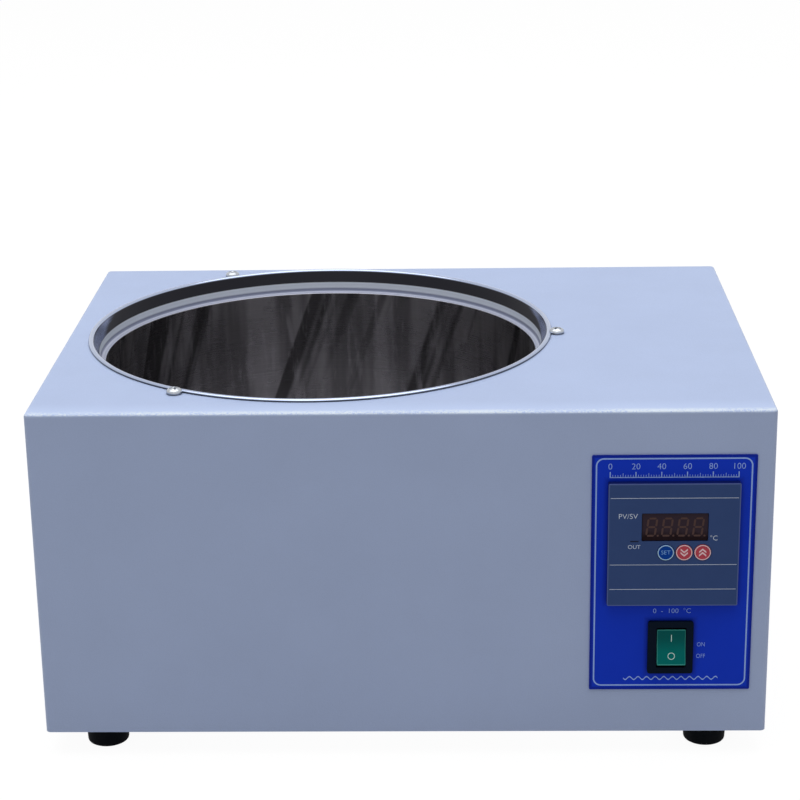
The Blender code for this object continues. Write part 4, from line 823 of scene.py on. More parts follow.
def makeCase():
    size, centre = caseHigh - caseLow, (caseHigh + caseLow) / 2
    bm = bmesh.new()
    bmesh.ops.create_cube(bm, size=1, matrix=Matrix.Translation(centre) @ Matrix.Diagonal((*size, 1)))
    bmesh.ops.delete(bm, geom=[face for face in bm.faces if face.normal.z < -0.5], context="FACES_ONLY")
    bmesh.ops.recalc_face_normals(bm, faces=bm.faces[:])
    upright = [e for e in bm.edges if abs(e.verts[0].co.z - e.verts[1].co.z) > fineStep]
    bevel(bm, upright, case["corner"], 8, "EDGES")
    soften(bm, case["edge"], 6)

    top, front, back = bmesh.new(), bmesh.new(), bmesh.new()
    circle(top, case["bathHole"], (bath.x, bath.y), tankSize["steps"])
    for name in ("front", "right", "back"):
        circle(top, case["screwHole"], middle(f"rim_screw_{name}").xy, 16)
    pierce(bm, (0, 0, 1), Matrix.Identity(4), top)
    frontHoles(front, Vector())
    pierce(bm, (0, -1, 0), frontTurn, front)
    inletAt, fuseAt, pipeAt = (middle(node) for node in ("mains_inlet", "fuse_holder", "drain_cock_body"))
    rectangle(back, *case["inletHole"], (-inletAt.x, inletAt.z))
    circle(back, case["fuseHole"], (-fuseAt.x, fuseAt.z), 32)
    circle(back, case["pipeHole"], (-pipeAt.x, pipeAt.z), 32)
    for i in case["airSlotsAt"]:
        place = (case["airSlotPitch"] * i - fuseAt.x, fuseAt.z + case["airSlotRise"])
        rectangle(back, *case["airSlot"], place)
    for way in (-1, 1):
        circle(back, case["inletScrewHole"], (case["inletScrews"] * way - inletAt.x, inletAt.z), 16)
    pierce(bm, (0, 1, 0), backTurn, back)
    for way, name in ((-1, "left"), (1, "right")):
        side = bmesh.new()
        for end in ("front", "back"):
            at = middle(f"side_screw_{name}_{end}")
            circle(side, case["screwHole"], (at.y * way, at.z), 16)
        pierce(bm, (way, 0, 0), turned(90 * way, "Z") @ frontTurn, side)
    pieceOf("caseShell", bm, "case_paint", "root", "outer_case", case["sheet"])


makeCase()
print("case made")


# Tank: a few points of its section, the lip spun over, the whole spun round, its floor filled round the holes

def ringAt(bm, reach, height):  # the edges of the circle at that reach and height
    return [
        edge for edge in bm.edges
        if all(max(abs(v.co.z - height), abs(v.co.xy.length - reach)) < fineStep for v in edge.verts)
    ]


def makeTank():
    size = tankSize
    radius, depth, rim = size["radius"], size["depth"], tankHigh.x - bath.x
    seat = radius + size["ledge"]
    start = math.radians(size["lipStart"])
    lipCentre = Vector((rim - size["lipRadius"], 0, size["lipRise"]))
    slopeTop = lipCentre + Vector((math.cos(start), 0, math.sin(start))) * size["lipRadius"]
    points = (
        (radius - size["fillet"] * 1.3, -depth),
        (radius, -depth),
        (radius, -size["ledgeDrop"]),
        (seat, -size["ledgeDrop"]),
        (seat + size["step"], -size["stepDrop"]),
        (slopeTop.x, slopeTop.z),
    )
    bm = bmesh.new()
    verts = [bm.verts.new((reach, 0, height)) for reach, height in points]
    for pair in zip(verts, verts[1:]):
        bm.edges.new(pair)
    rolled = sweep(bm, [verts[-1]], lipCentre, (0, 1, 0), start, 18)
    flat = [vert for vert in bm.verts if vert.co.z > 0]
    bmesh.ops.scale(bm, vec=(1, 1, size["lipFlatness"]), space=Matrix.Translation(-lipCentre), verts=flat)
    bm.edges.new((only(rolled, "Vert")[0], bm.verts.new((rim, 0, size["foot"]))))
    spinRound(bm, bm.verts[:] + bm.edges[:], size["steps"])
    bmesh.ops.recalc_face_normals(bm, faces=bm.faces[:])
    bevel(bm, ringAt(bm, radius, -depth), size["fillet"], 10, "EDGES")
    bevel(bm, ringAt(bm, seat, -size["ledgeDrop"]), size["ledgeCorner"], 6, "EDGES")
    soften(bm, size["soft"], 3, 17, where=lambda point: point.z > -depth / 2)

    edges = [e for e in bm.edges if e.is_boundary and e.verts[0].co.xy.length < radius]
    before = set(bm.edges)
    holes = [(middle(f"heater_nut_{end}") - bath, size["legHole"]) for end in ("back", "front")]
    holes.append((Vector((0, size["drainAt"], 0)), size["drainHole"]))
    for at, hole in holes:
        bmesh.ops.create_circle(bm, cap_ends=False, segments=32, radius=hole, matrix=lying(at, -depth))
    fillRound(bm, edges, before, (0, 0, 1))
    bmesh.ops.recalc_face_normals(bm, faces=bm.faces[:])
    if min(bm.faces, key=lambda f: f.calc_center_median().z).normal.z < 0:
        bmesh.ops.reverse_faces(bm, faces=bm.faces[:])
    pieceOf("tankShell", put(bm, Matrix.Translation(bath)), "polished_steel", "root", "tank", size["wall"])


makeTank()
print("tank made")


# Screws: pan heads with a cross recess, pressed into a grid that is drawn out to a disc

screw = {
    "grid": 26,
    "recess": 0.58,
    "blade": 0.16,
    "depth": 0.42,
    "taper": 0.62,
    "brow": 0.30,
    "shade": 0.8,
    "round": 2.1,
    "proud": 0.0003,
    "rim": (0.0045, 0.0034, 0.0019),  # each kind: its head's radius and height, its shank's radius
    "sheet": (0.0043, 0.0022, 0.0019),
    "inlet": (0.0028, 0.0018, 0.0014),
}


def panHead(radius, height, shank, length):  # stands on z = 0
    bm = bmesh.new()
    recessShade = bm.verts.layers.float.new("recessShade")  # painted shade: 1 down in the recess and less round the foot of the head, darkening the finish there
    bmesh.ops.create_grid(bm, x_segments=screw["grid"], y_segments=screw["grid"], size=1)
    slot = []
    for face in bm.faces:
        near, far = sorted(abs(part) for part in face.calc_center_median().xy)
        if near < screw["blade"] and far < screw["recess"]:
            slot.append(face)
    for vert in bm.verts:
        x, y = vert.co.xy
        vert.co.x, vert.co.y = x * math.sqrt(1 - y * y / 2), y * math.sqrt(1 - x * x / 2)
        away = min(1.0, vert.co.xy.length)
        vert.co.z = screw["brow"] + (1 - screw["brow"]) * math.sqrt(max(0.0, 1 - away ** screw["round"]))
    pressed = raiseFaces(bm, -screw["depth"], slot)
    bmesh.ops.delete(bm, geom=slot, context="FACES")
    verts = list({vert for face in pressed for vert in face.verts})
    bmesh.ops.scale(bm, vec=(screw["taper"], screw["taper"], 1), verts=verts)
    for vert in verts:
        vert[recessShade] = 1.0
    # painted shadow round the foot of the head
    skirt = bmesh.ops.extrude_edge_only(bm, edges=[e for e in bm.edges if e.is_boundary])["geom"]
    for vert in only(skirt, "Vert"):
        vert.co.z = 0
        vert[recessShade] = screw["shade"]
    bmesh.ops.holes_fill(bm, edges=[e for e in bm.edges if e.is_boundary], sides=0)
    bmesh.ops.scale(bm, vec=(radius, radius, height), verts=bm.verts[:])
    bmesh.ops.create_cone(
        bm, cap_ends=True, segments=24, radius1=shank, radius2=shank, depth=length,
        matrix=Matrix.Translation((0, 0, -length / 2)),
    )
    return bm


def makeScrew(node, kind, turn, onCase=False):  # the head looks along that turn's Z
    low, high, at = extent(node)
    out = turn @ Vector((0, 0, 1))
    ends = sorted((low.dot(out), high.dot(out)))
    seat = max(caseLow.dot(out), caseHigh.dot(out)) + screw["proud"] if onCase else ends[1] - screw[kind][1]
    bm = panHead(*screw[kind], seat - ends[0])
    put(bm, Matrix.Translation(at + out * (seat - at.dot(out))) @ turn)
    pieceOf(f"{node}_detailed", bm, "plated_steel", "root", node, crease=50)


def makeScrews():
    for name, angle in (("front", 20), ("right", 65), ("back", 5)):
        makeScrew(f"rim_screw_{name}", "rim", turned(angle, "Z"))
    for side, way in (("left", -1), ("right", 1)):
        for end in ("front", "back"):
            node = f"side_screw_{side}_{end}"
            spun = Matrix.Rotation(middle(node).y * 40, 4, "Z")  # no two stop at the same angle
            makeScrew(node, "sheet", turned(90 * way, "Y") @ spun, onCase=True)
    for side in ("left", "right"):
        for end in ("front", "back"):
            makeScrew(f"foot_screw_{end}_{side}", "sheet", turned(180, "X"))
        makeScrew(f"inlet_screw_{side}", "inlet", backTurn)


makeScrews()
print("screws made")


# Feet: moulded rubber with a recess for the screw

foot = {
    "top": 0.0125,
    "bottom": 0.0118,
    "edge": 0.0016,
    "soft": 0.0004,
    "bore": 0.0024,
    "recess": 0.0052,
    "deep": 0.008,
}


def makeFeet():
    bore, recess, deep = foot["bore"], foot["recess"], foot["deep"]
    for name in ("front_left", "front_right", "back_left", "back_right"):
        low, high, at = extent(f"foot_{name}")
        height = high.z - low.z
        profile = [(bore, height), (foot["top"], height), (foot["bottom"], 0)]
        bm = lathe(profile + [(recess, 0), (recess, deep), (bore, deep)], 72, closed=True)
        soften(bm, foot["edge"], 4, where=lambda point: point.z < fineStep and point.xy.length > recess * 1.2)
        soften(bm, foot["soft"])
        pieceOf(f"rubberFoot_{name}", put(bm, lying(at, low.z)), "black_rubber", "root", f"foot_{name}")


makeFeet()
print("feet made")


# Label plate and its prints: a frame line, a plain temperature scale, and plain words

plate = {"corner": 0.0008, "soft": 0.00015}
prints = {
    "frameInset": (0.0021, 0.0024, 0.0017, 0.0023),
    "frameLine": 0.0008,
    "frameCorner": 0.0045,
    "scaleWidth": 0.070,
    "scaleRise": 0.0572,
    "scaleLine": 0.0005,
    "scaleTop": 100,
    "ticks": ((10, 0.0006, 0.0030), (5, 0.0003, 0.0022), (1, 0.0003, 0.0013)),  # every so many, width, length
    "tickGap": 0.0002,
    "tickCount": 50,
    "numberRise": 0.0634,
    "numberSize": 0.0050,
    "numberCount": 5,
    "words": (  # their size, place and width
        ("0  -  100  °C", 0.0040, (0.0006, -0.0222), 1.05),
        ("ON", 0.0037, (0.0172, -0.0427), 0.8),
        ("OFF", 0.0037, (0.0172, -0.0498), 0.8),
    ),
    "wave": (0.053, 0.0009, 0.0007, 11),
    "wavePlace": (0.0006, -0.0632),
}


def outlineOf(node, corner, steps=5):  # begins a drawing with the outline of a node that stands upright
    low, high, centre = extent(node)
    bm = bmesh.new()
    rectangle(bm, high.x - low.x, high.z - low.z, corner, steps=steps)
    return bm, low, high, centre


def strip(bm, length, line, segments):
    matrix = Matrix.Diagonal((length / 2, line / 2, 1, 1))
    return bmesh.ops.create_grid(bm, x_segments=segments, y_segments=1, size=1, matrix=matrix)["verts"]


def wave(bm):  # a plain ripple: a strip bent up and down
    length, height, line, count = prints["wave"]
    verts = strip(bm, length, line, count * 16)
    for vert in verts:
        vert.co.y += math.sin(vert.co.x / length * math.tau * count) * height
    bmesh.ops.translate(bm, verts=verts, vec=(*prints["wavePlace"], 0))


def makeLabel():
    bm, low, high, centre = outlineOf("label_plate", plate["corner"])
    frontHoles(bm, centre)
    thicken(bm, high.y - low.y, plate["soft"], 2)
    pieceOf("labelPlate", put(bm, facing(centre, high.y)), "label_blue", "root", "label_plate")

    bm = bmesh.new()
    left, right, top, bottom = prints["frameInset"]
    for line in (0.0, prints["frameLine"]):
        size = (high.x - low.x - left - right - line * 2, high.z - low.z - top - bottom - line * 2)
        rectangle(bm, *size, prints["frameCorner"] - line, ((left - right) / 2, (bottom - top) / 2), 10)
    fillOutlines(bm)
    span, rise = prints["scaleWidth"], prints["scaleRise"]
    rectangle(bm, span + prints["ticks"][0][1], prints["scaleLine"], centre=(0, rise))
    for i in range(prints["tickCount"] + 1):
        thin, long = next(size for every, *size in prints["ticks"] if i % every == 0)
        across = span * (i / prints["tickCount"] - 0.5)
        rectangle(bm, thin, long, centre=(across, rise + long / 2 + prints["tickGap"]))
    for i in range(prints["numberCount"] + 1):
        share = i / prints["numberCount"]
        place = (span * (share - 0.5), prints["numberRise"])
        lettering(bm, f"{prints['scaleTop'] * share:.0f}", prints["numberSize"], place)
    for words in prints["words"]:
        lettering(bm, *words)
    wave(bm)
    printed("labelPrints", bm, "lavender", "root", facing(centre, low.y))


makeLabel()
print("label made")


# Controller: bezel, its thin lines and words, the window with unlit digits, and three keys

bezel = {
    "corner": 0.0007,
    "soft": 0.00030,
    "window": (0.0365, 0.0164, 0.0007),
    "paneSoft": 0.0002,
    "keyHole": 0.00485,
    "lineWidth": 0.00024,
    "lineInset": 0.0012,
    "lines": (0.0277, -0.0115, -0.0261),
    "words": (
        ("PV/SV", 0.0042, (-0.0252, 0.0170), 1.04),
        ("OUT", 0.0033, (-0.0216, -0.0010), 1.0),
        ("°C", 0.0041, (0.0219, 0.0041), 1.0),
    ),
    "lamp": (0.0046, 0.0007, 0.0002, (-0.0215, 0.0024)),
}
digits = {"height": 0.0112, "width": 0.0058, "stroke": 0.0011, "pitch": 0.0085, "slant": 0.12}
keys = {  # finish of the cap, inks of its ring and its mark
    "set_key": ("key_navy", "ice", "sky"),
    "down_key": ("key_red", "rose", "rose"),
    "up_key": ("key_red", "rose", "rose"),
}
key = {
    "proud": 0.0004,
    "dish": (0.85, 0.9),
    "rim": (0.0012, 0.0009),
    "skirt": -0.0045,
    "stem": 0.002,
    "soft": 0.0002,
    "ring": (0.0001, 0.0006),
    "word": ("SET", 0.0034, (0, 0), 1.02),
    "chevron": (0.0040, 0.00105, 0.84),
    "chevronRises": (-0.00100, 0.00100),
}


def makeController():
    bm, low, high, centre = outlineOf("controller_bezel", bezel["corner"])
    pane = middle("display_window") - centre
    rectangle(bm, *bezel["window"], (pane.x, pane.z))
    for name in keys:
        at = middle(name) - centre
        circle(bm, bezel["keyHole"], (at.x, at.z))
    thicken(bm, high.y - low.y, bezel["soft"])
    pieceOf("controllerBezel", put(bm, facing(centre, high.y)), "slate_plastic", "root", "controller_bezel")

    lines, words, lamp = bmesh.new(), bmesh.new(), bmesh.new()
    for rise in bezel["lines"]:
        rectangle(lines, high.x - low.x - bezel["lineInset"] * 2, bezel["lineWidth"], centre=(0, rise))
    for word in bezel["words"]:
        lettering(words, *word)
    rectangle(lamp, *bezel["lamp"])
    face = facing(centre, low.y)
    printed("bezelLines", lines, "thinLine", "root", face)
    printed("bezelPrints", words, "pale", "root", face)
    printed("outLamp", lamp, "night", "root", face)


def makeWindow():
    bm, low, high, centre = outlineOf("display_window", bezel["window"][2])
    thicken(bm, high.y - low.y, bezel["paneSoft"], 2)
    pieceOf("displayPane", put(bm, facing(centre, high.y)), "display_red", "root", "display_window")

    bm = bmesh.new()
    half, thin = digits["height"] / 2, digits["stroke"]
    side = (digits["width"] - thin) / 2
    for i in range(4):
        x = digits["pitch"] * (i - 1.5)
        for rise in (-half + thin / 2, 0, half - thin / 2):
            rectangle(bm, side * 2 - thin * 0.5, thin, thin * 0.49, (x, rise), steps=1)
        for across in (-side, side):
            for rise in (-half / 2 + thin / 4, half / 2 - thin / 4):
                rectangle(bm, thin, half - thin * 1.1, thin * 0.49, (x + across, rise), steps=1)
        circle(bm, thin * 0.55, (x + side + thin * 1.5, -half + thin / 2), 16)
    slant = Matrix.Identity(4)
    slant[0][1] = digits["slant"]
    printed("unlitDigits", put(bm, slant), "segment", "root", facing(centre, low.y), thickness=0.00002)


def chevron(bm, rise, way):  # a strip folded at its middle
    length, line, slope = key["chevron"]
    for vert in strip(bm, length, line, 2):
        vert.co.y += rise + (length / 4 - abs(vert.co.x)) * slope * way


def makeKeys():
    proud, skirt, stem = key["proud"], key["skirt"], key["stem"]
    for name, (finish, ring, mark) in keys.items():
        low, high, at = extent(name)
        radius, end = (high.x - low.x) / 2, low.y + proud - high.y
        inner, outer = (radius - inset for inset in key["rim"])
        floor, lip = (proud * share for share in key["dish"])
        profile = [(0, floor), (inner, lip), (outer, proud), (radius, proud)]
        bm = lathe(profile + [(radius, skirt), (stem, skirt), (stem, end), (0, end)], 64)
        soften(bm, key["soft"])
        pieceOf(f"{name}_cap", put(bm, facing(at, low.y + proud)), finish, name, name)

        bm = bmesh.new()
        for inset in key["ring"]:
            circle(bm, radius - inset, steps=64)
        fillOutlines(bm)
        printed(f"{name}_ring", bm, ring, name, facing(at, low.y), thickness=0.00003)
        bm = bmesh.new()
        if name == "set_key":
            lettering(bm, *key["word"])
        else:
            for rise in key["chevronRises"]:
                chevron(bm, rise, 1 if name == "up_key" else -1)
        printed(f"{name}_mark", bm, mark, name, facing(at, low.y + proud * 0.1), thickness=0.00005)


makeController()
makeWindow()
makeKeys()
print("controller made")


# Switch: black surround with a deep pocket, and the green rocker on its hinge

switch = {
    "corner": 0.0015,
    "soft": 0.0006,
    "flange": 0.0020,
    "body": (0.0216, 0.0280, 0.0005),
    "pocketCorner": 0.0004,
    "pocketGap": 0.0003,
}


def hollow(flange, body, draw, depth, flangeDepth, floorDepth):  # a flanged box whose pocket ends at z = 0
    walls, floor = bmesh.new(), bmesh.new()
    rectangle(walls, *body)
    draw(walls)
    thicken(walls, depth - flangeDepth)
    rectangle(floor, *body)
    thicken(floor, floorDepth)
    return add(add(lifted(flange, depth - flangeDepth), walls), lifted(floor, -floorDepth))


def makeSwitch():
    (end, half), (valley, _), _, back, _ = rocker["outline"]
    gap = switch["pocketGap"]

    def pocket(bm):
        height = (math.hypot(end, half) + gap) * 2
        rectangle(bm, rocker["width"] + gap * 2, height, switch["pocketCorner"], (rocker["aside"], 0))

    bm, low, high, centre = outlineOf("switch_body", switch["corner"])
    pocket(bm)
    thicken(bm, switch["flange"], switch["soft"], 4)
    bottom = rockerAxis.y + math.hypot(*back) + gap
    bm = hollow(bm, switch["body"], pocket, bottom - low.y, switch["flange"], high.y - bottom)
    pieceOf("switchSurround", put(bm, facing(centre, bottom)), "black_plastic", "root", "switch_body")

    bm = bmesh.new()
    side = rocker["aside"] - rocker["width"] / 2
    face = bm.faces.new([bm.verts.new((side, y, z)) for y, z in rocker["outline"]])
    grown = bmesh.ops.extrude_face_region(bm, geom=[face])["geom"]
    bmesh.ops.translate(bm, verts=only(grown, "Vert"), vec=(rocker["width"], 0, 0))
    bmesh.ops.recalc_face_normals(bm, faces=bm.faces[:])
    middleEdges = [e for e in bm.edges if all(abs(v.co.z) < fineStep for v in e.verts)]
    bevel(bm, middleEdges, rocker["valley"], 8, "EDGES")
    soften(bm, rocker["soft"], 4)
    pieceOf("rockerCap", put(bm, rockerPlace), "rocker_green", "rocker", "rocker")

    onMark, offMark = bmesh.new(), bmesh.new()
    rectangle(onMark, *rocker["onMark"], 0.0001, steps=2)
    for radius in rocker["offMark"]:
        circle(offMark, radius)
    fillOutlines(offMark)
    for name, bm, rise in (("onMark", onMark, rocker["onRise"]), ("offMark", offMark, rocker["offRise"])):
        out = valley + (end - valley) * abs(rise) / half
        tip = Matrix.Rotation(math.copysign(math.atan((valley - end) / half), rise), 4, "X")
        at = rockerPlace @ Matrix.Translation((rocker["aside"], out, rise)) @ tip @ frontTurn
        printed(name, bm, "mint", "rocker", at, thickness=0.00005)


makeSwitch()
print("switch made")


# Back: mains inlet with its pins, fuse holder and cap

inlet = {
    "flangeCorner": 0.003,
    "flange": 0.003,
    "soft": 0.0005,
    "body": (0.0275, 0.020, 0.0006),
    "socket": (0.0244, 0.0164, 0.005),
    "deep": 0.0165,
    "pinCorner": 0.0003,
    "pinSoft": 0.0006,
}
fuse = {
    "body": 0.0065,
    "bore": 0.0042,
    "boreShare": 0.9,
    "flange": 0.009,
    "flangeDepth": 0.0025,
    "soft": 0.0004,
    "capGap": 0.0003,
    "capHead": 0.007,
    "capSoft": (0.0003, 0.0006),
    "slot": 0.0012,
    "slotDeep": 0.0016,
    "ribs": 24,
    "rib": (0.0005, 0.0005, 0.00015),
    "ribInset": 0.00025,
    "ribEnd": 0.0006,
}


def makeInlet():
    def socket(bm):
        rectangle(bm, *inlet["socket"], steps=1, rounded=lambda point: point.y > 0)

    bm, low, high, centre = outlineOf("mains_inlet", inlet["flangeCorner"], 8)
    socket(bm)
    for way in (-1, 1):
        circle(bm, case["inletScrewHole"], (way * case["inletScrews"], 0), 24)
    thicken(bm, inlet["flange"], inlet["soft"])
    deep = inlet["deep"]
    bm = hollow(bm, inlet["body"], socket, deep, inlet["flange"], high.y - low.y - deep)
    put(bm, facing(centre, high.y - deep, backTurn))
    pieceOf("mainsSocket", bm, "black_plastic", "root", "mains_inlet")
    for name in ("line", "earth", "neutral"):
        node = f"inlet_pin_{name}"
        bm, low, high, centre = outlineOf(node, inlet["pinCorner"])
        thicken(bm, high.y - low.y, inlet["pinSoft"])
        pieceOf(f"{node}_blade", put(bm, facing(centre, low.y, backTurn)), "brass", "root", node)


def makeFuse():
    low, high, centre = extent("fuse_holder")
    body, bore, flange = fuse["body"], fuse["bore"], fuse["flange"]
    end, ledge = low.y - high.y, -fuse["flangeDepth"]
    inner = end * fuse["boreShare"]
    profile = [(0, end), (body, end), (body, ledge), (flange, ledge)]
    bm = lathe(profile + [(flange, 0), (bore, 0), (bore, inner), (0, inner)])
    soften(bm, fuse["soft"])
    put(bm, facing(centre, high.y, backTurn))
    pieceOf("fuseBarrel", bm, "black_plastic", "root", "fuse_holder")

    low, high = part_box("fuse_cap")
    radius, top, shank = (high.x - low.x) / 2, high.y - low.y, bore - fuse["capGap"]
    shoulder, face = top - fuse["capHead"], top - fuse["slotDeep"]
    underSoft, faceSoft = fuse["capSoft"]
    bm = lathe([(0, 0), (shank, 0), (shank, shoulder), (radius, shoulder), (radius, face), (0, face)])
    soften(bm, underSoft, 2, where=lambda point: point.z < shoulder + fineStep)
    for way in (-1, 1):  # the two half rounds beside the screwdriver slot
        half = bmesh.new()
        circle(half, radius, steps=96)
        bmesh.ops.bisect_plane(
            half, geom=half.verts[:] + half.edges[:] + half.faces[:], plane_co=(0, fuse["slot"] / 2 * way, 0),
            plane_no=(0, way, 0), clear_inner=True, dist=0.0000001,
        )
        thicken(half, fuse["slotDeep"], faceSoft)
        add(bm, lifted(half, face))
    for i in range(fuse["ribs"]):
        rib = bmesh.new()
        rectangle(rib, *fuse["rib"], (radius - fuse["ribInset"], 0), 2)
        thicken(rib, face - shoulder - fuse["ribEnd"] * 2)
        add(bm, put(lifted(rib, shoulder + fuse["ribEnd"]), turned(360 * i / fuse["ribs"], "Z")))
    put(bm, facing(centre, low.y, backTurn))
    pieceOf("fuseCap", bm, "black_plastic", "fuse_cap", "fuse_cap")


makeInlet()
makeFuse()
print("mains inlet and fuse made")


# Drain: cock, plug, lever and nut behind the case

drain = {
    "radius": 0.009,
    "length": 0.024,
    "socket": (0.0063, 0.002),
    "barrel": 0.0095,
    "spout": 0.006,
    "spoutBore": 0.004,
    "barb": 0.0008,
    "barbs": 3,
    "plug": 0.0062,
    "plugGap": 0.0003,
    "plugTaper": 0.0008,
    "plugSunk": 0.001,
    "lever": (0.038, 0.008, 0.002),
    "leverGap": 0.0002,
    "armStart": 0.001,
    "armSunk": 0.00005,
    "hub": 0.006,
    "stem": 0.0025,
    "soft": (0.0004, 0.0005, 0.0003),
}


def makeDrain():
    low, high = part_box("drain_cock_body")
    axis = Vector(joints["drain_lever_turn"]["pos_m"])
    length, spout, plug, stem = drain["length"], drain["spout"], drain["plug"], drain["stem"]
    soft, barrelSoft, smallSoft = drain["soft"]
    tip, top = high.y - low.y, (high.z - low.z) / 2
    pitch, narrow = (tip - length) / (drain["barbs"] + 1), spout - drain["barb"]
    bore, deep = drain["socket"]
    profile = [(0, deep), (bore, deep), (bore, 0), (drain["radius"], 0), (drain["radius"], length)]
    profile.append((spout - drain["barb"] / 2, length))
    for i in range(1, drain["barbs"] + 1):
        profile += [(spout, length + pitch * (i - 0.25)), (narrow, length + pitch * (i + 0.5))]
    profile += [(narrow, tip), (drain["spoutBore"], tip), (drain["spoutBore"], length), (0, length)]
    bm = lathe(profile)
    soften(bm, soft, 3, 35)
    put(bm, facing(axis, low.y, backTurn))
    barrel, seat, sunk = drain["barrel"], plug + drain["plugGap"], top - drain["plugSunk"]
    shell = lathe([(0, -top), (barrel, -top), (barrel, top), (seat, top), (seat, sunk), (0, sunk)])
    soften(shell, barrelSoft)
    add(bm, put(shell, Matrix.Translation(axis)))
    pieceOf("drainCock", bm, "brass", "root", "drain_cock_body")

    def turning(name, node, bm, z, finish="plated_steel"):
        pieceOf(name, put(bm, lying(axis, z)), finish, "drain_lever", node)

    low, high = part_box("drain_plug")
    top += axis.z
    base = plug - drain["plugTaper"]
    bm = lathe([(0, low.z), (base, low.z), (plug, top), (stem, top), (stem, high.z), (0, high.z)], 64)
    soften(bm, smallSoft)
    turning("drainPlug", "drain_plug", bm, 0, "brass")

    reach, width, thickness = drain["lever"]
    start = stem + drain["armStart"]
    bm, arm = bmesh.new(), bmesh.new()
    circle(bm, drain["hub"], steps=64)
    circle(bm, stem + drain["leverGap"], steps=32)
    thicken(bm, thickness, soft)
    rectangle(arm, reach - start, width, width / 3, ((reach + start) / 2, 0), 8)
    thicken(arm, thickness - drain["armSunk"], soft)
    turning("drainLever", "drain_lever", add(bm, arm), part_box("drain_lever")[0].z)

    low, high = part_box("lever_nut")
    bm = bmesh.new()
    circle(bm, (high.x - low.x) / 2, steps=6)
    circle(bm, stem, steps=32)
    thicken(bm, high.z - low.z, smallSoft)
    turning("leverNut", "lever_nut", bm, low.z)


makeDrain()
print("drain made")


# Inside the tank: the shelf and the heater

shelf = {
    "sheet": 0.0012,
    "rim": 0.005,
    "soft": (0.0007, 0.0002),
    "hole": 0.0045,
    "pitch": 0.024,
    "rings": 4,
    "leg": 0.003,
    "legInset": 0.012,
    "legSoft": 0.0006,
    "legs": (70, 190, 290),
}
heater = {"ring": 0.0905, "tube": 0.004, "bend": 0.0095, "steps": 120}


def makeShelf():
    low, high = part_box("perforated_shelf")
    radius, sheet, drop = (high.x - low.x) / 2, shelf["sheet"], -shelf["rim"]
    plain, inner = radius - sheet * 1.5, radius - sheet
    bm = bmesh.new()
    circle(bm, plain, steps=144)
    for number in range(1, shelf["rings"] + 1):
        for i in range(6 * number):
            angle = math.tau * (i + number % 2 / 2) / (6 * number)
            away = shelf["pitch"] * number
            circle(bm, shelf["hole"], (away * math.cos(angle), away * math.sin(angle)), 24)
    fillOutlines(bm)
    raiseFaces(bm, -sheet)
    profile = [(plain, 0), (radius, 0), (radius, drop), (inner, drop), (inner, -sheet), (plain, -sheet)]
    rim = lathe(profile, 144, closed=True)
    topSoft, footSoft = shelf["soft"]
    soften(rim, topSoft, 4, where=lambda point: point.z > -fineStep and point.xy.length > radius - fineStep)
    soften(rim, footSoft, 2, where=lambda point: point.z < drop + fineStep)
    add(bm, rim)
    for angle in shelf["legs"]:
        leg = bmesh.new()
        circle(leg, shelf["leg"], steps=32)
        thicken(leg, high.z - low.z - sheet, shelf["legSoft"])
        at = turned(angle, "Z") @ Vector((radius - shelf["legInset"], 0, 0))
        add(bm, put(leg, lying(at, -sheet) @ turned(180, "X")))
    pieceOf("vesselShelf", put(bm, lying(bath, high.z)), "brushed_steel", "shelf", "perforated_shelf")


def makeHeater():
    low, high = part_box("heater_tube")
    reach, tube, bend = heater["ring"], heater["tube"], heater["bend"]
    legAt = (middle("heater_nut_back") - bath).y
    gap = math.asin(legAt / math.hypot(reach, bend)) + math.atan2(bend, reach)
    bm = bmesh.new()
    place = Matrix.Rotation(gap, 4, "Z") @ Matrix.Translation((reach, 0, 0)) @ frontTurn
    ring = bmesh.ops.create_circle(bm, cap_ends=False, segments=24, radius=tube, matrix=place)["verts"]
    start = ring + list({edge for vert in ring for edge in vert.link_edges})
    end = sweep(bm, start, (0, 0, 0), (0, 0, 1), math.tau - gap * 2, heater["steps"])
    for geom, way in ((start, 1), (end, -1)):
        turn = Matrix.Rotation(gap * way, 4, "Z")
        bent = sweep(bm, geom, turn @ Vector((reach, 0, -bend)), turn @ Vector((way, 0, 0)), math.pi / 2, 10)
        leg = bmesh.ops.extrude_edge_only(bm, edges=only(bent, "Edge"))["geom"]
        bmesh.ops.translate(bm, verts=only(leg, "Vert"), vec=(0, 0, low.z + tube + bend - high.z))
        bmesh.ops.holes_fill(bm, edges=only(leg, "Edge"), sides=0)
    bmesh.ops.remove_doubles(bm, verts=bm.verts[:], dist=0.000005)
    pieceOf("heaterRing", put(bm, lying(bath, high.z - tube)), "brushed_steel", "root", "heater_tube")


makeShelf()
makeHeater()
print("shelf and heater made")


# Pieces inside the case: smooth copies of the round ones, better finishes on the rest

copied = {
    "brushed_steel": ("sensor_probe", "drain_pipe"),
    "insulation_wool": ("insulation_jacket",),
    "wire_red": ("heater_wire_back", "heater_wire_front"),
    "wire_grey": ("sensor_wire", "mains_wire"),
    "plated_steel": (
        "rocker_pin", "rim_nut_front", "rim_nut_right", "rim_nut_back", "heater_nut_back", "heater_nut_front",
        "sensor_nut",
    ),
}
kept = {
    "galvanised_sheet": ("base_plate", "controller_clamp_left", "controller_clamp_right"),
    "black_plastic": ("controller_housing", "display_module", "power_relay"),
    "board_green": ("controller_board",),
}


def finishInside():
    for finish, nodes in copied.items():
        for node in nodes:
            smoothCopy(node, finish)
    for finish, nodes in kept.items():
        for node in nodes:
            for place in frame["nodes"][node].material_slots:
                place.material = finishes[finish].owner


finishInside()
print("inside finished")


# Studio: a large soft lamp overhead, a weak one in front, a pale floor and a white surround

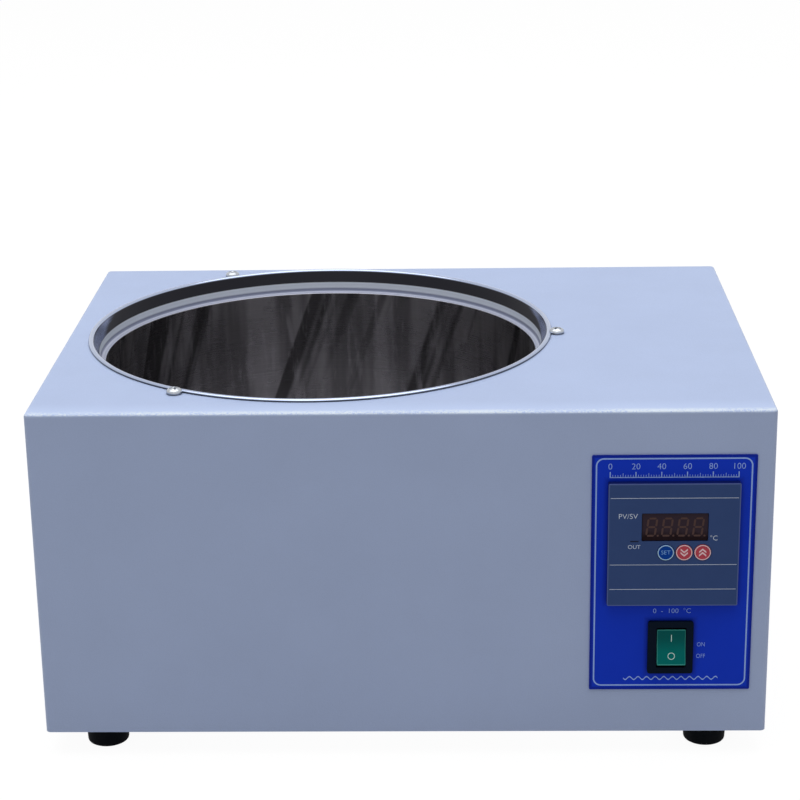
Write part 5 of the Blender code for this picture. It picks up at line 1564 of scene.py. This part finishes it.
studio = {
    "lamps": {  # place, size and power of each
        "overheadLamp": ((-0.1, -0.1, 2.6), 3.2, 55.5),
        "frontFill": ((-0.6, -2.2, 1.1), 1.6, 0.95),
    },
    "aim": (0, 0, 0.12),
    "white": (1.0, 1.0, 1.0),
    "skyLevel": 0.30,
    "floorSize": 9,
    "floorColours": ((0.96, 0.96, 0.96), (0.98, 0.98, 0.98)),
    "bounceColour": (0.50, 0.50, 0.51),
    "glow": 0.90,
    "glowLevel": 1.05,
}


def makeWorld():
    world = bpy.data.worlds.new("studio")
    bpy.context.scene.world = world
    sky = Finish(world, "Background", {"Color": studio["white"], "Strength": studio["skyLevel"]})
    lit = Link(sky, sky.shader.outputs[0])
    white = sky.node("ShaderNodeBackground", {}, {"Color": studio["white"]})
    sky.show(sky.node("ShaderNodeMixShader", {}, {0: sky.seen(), 1: lit, 2: white}))


def makeFloor():
    bm = bmesh.new()
    bmesh.ops.create_grid(bm, x_segments=1, y_segments=1, size=studio["floorSize"])
    mesh = bpy.data.meshes.new("floor")
    bm.to_mesh(mesh)
    bm.free()
    finish, place = newFinish("floorWhite", {})
    seen = finish.seen()
    shown = finish.blend(finish.noise(place, 3.0) * 0.3, *studio["floorColours"])
    colour = finish.blend(seen, studio["bounceColour"], shown)
    matt = finish.node("ShaderNodeBsdfDiffuse", {}, {"Color": colour})
    glow = finish.node("ShaderNodeEmission", {}, {"Color": studio["white"], "Strength": studio["glowLevel"]})
    finish.show(finish.node("ShaderNodeMixShader", {}, {0: seen * studio["glow"], 1: matt, 2: glow}))
    mesh.materials.append(finish.owner)
    newObject("floor", mesh)


def makeLamps():
    for name, (place, size, power) in studio["lamps"].items():
        lamp = bpy.data.lights.new(name, "AREA")
        lamp.shape = "SQUARE"
        lamp.size = size
        lamp.energy = power
        aim = Vector(studio["aim"]) - Vector(place)
        turn = aim.to_track_quat("-Z", "Y").to_matrix().to_4x4()
        newObject(name, lamp).matrix_world = Matrix.Translation(place) @ turn


makeWorld()
makeFloor()
makeLamps()
bpy.context.scene.view_settings.view_transform = "Standard"
print("studio made")
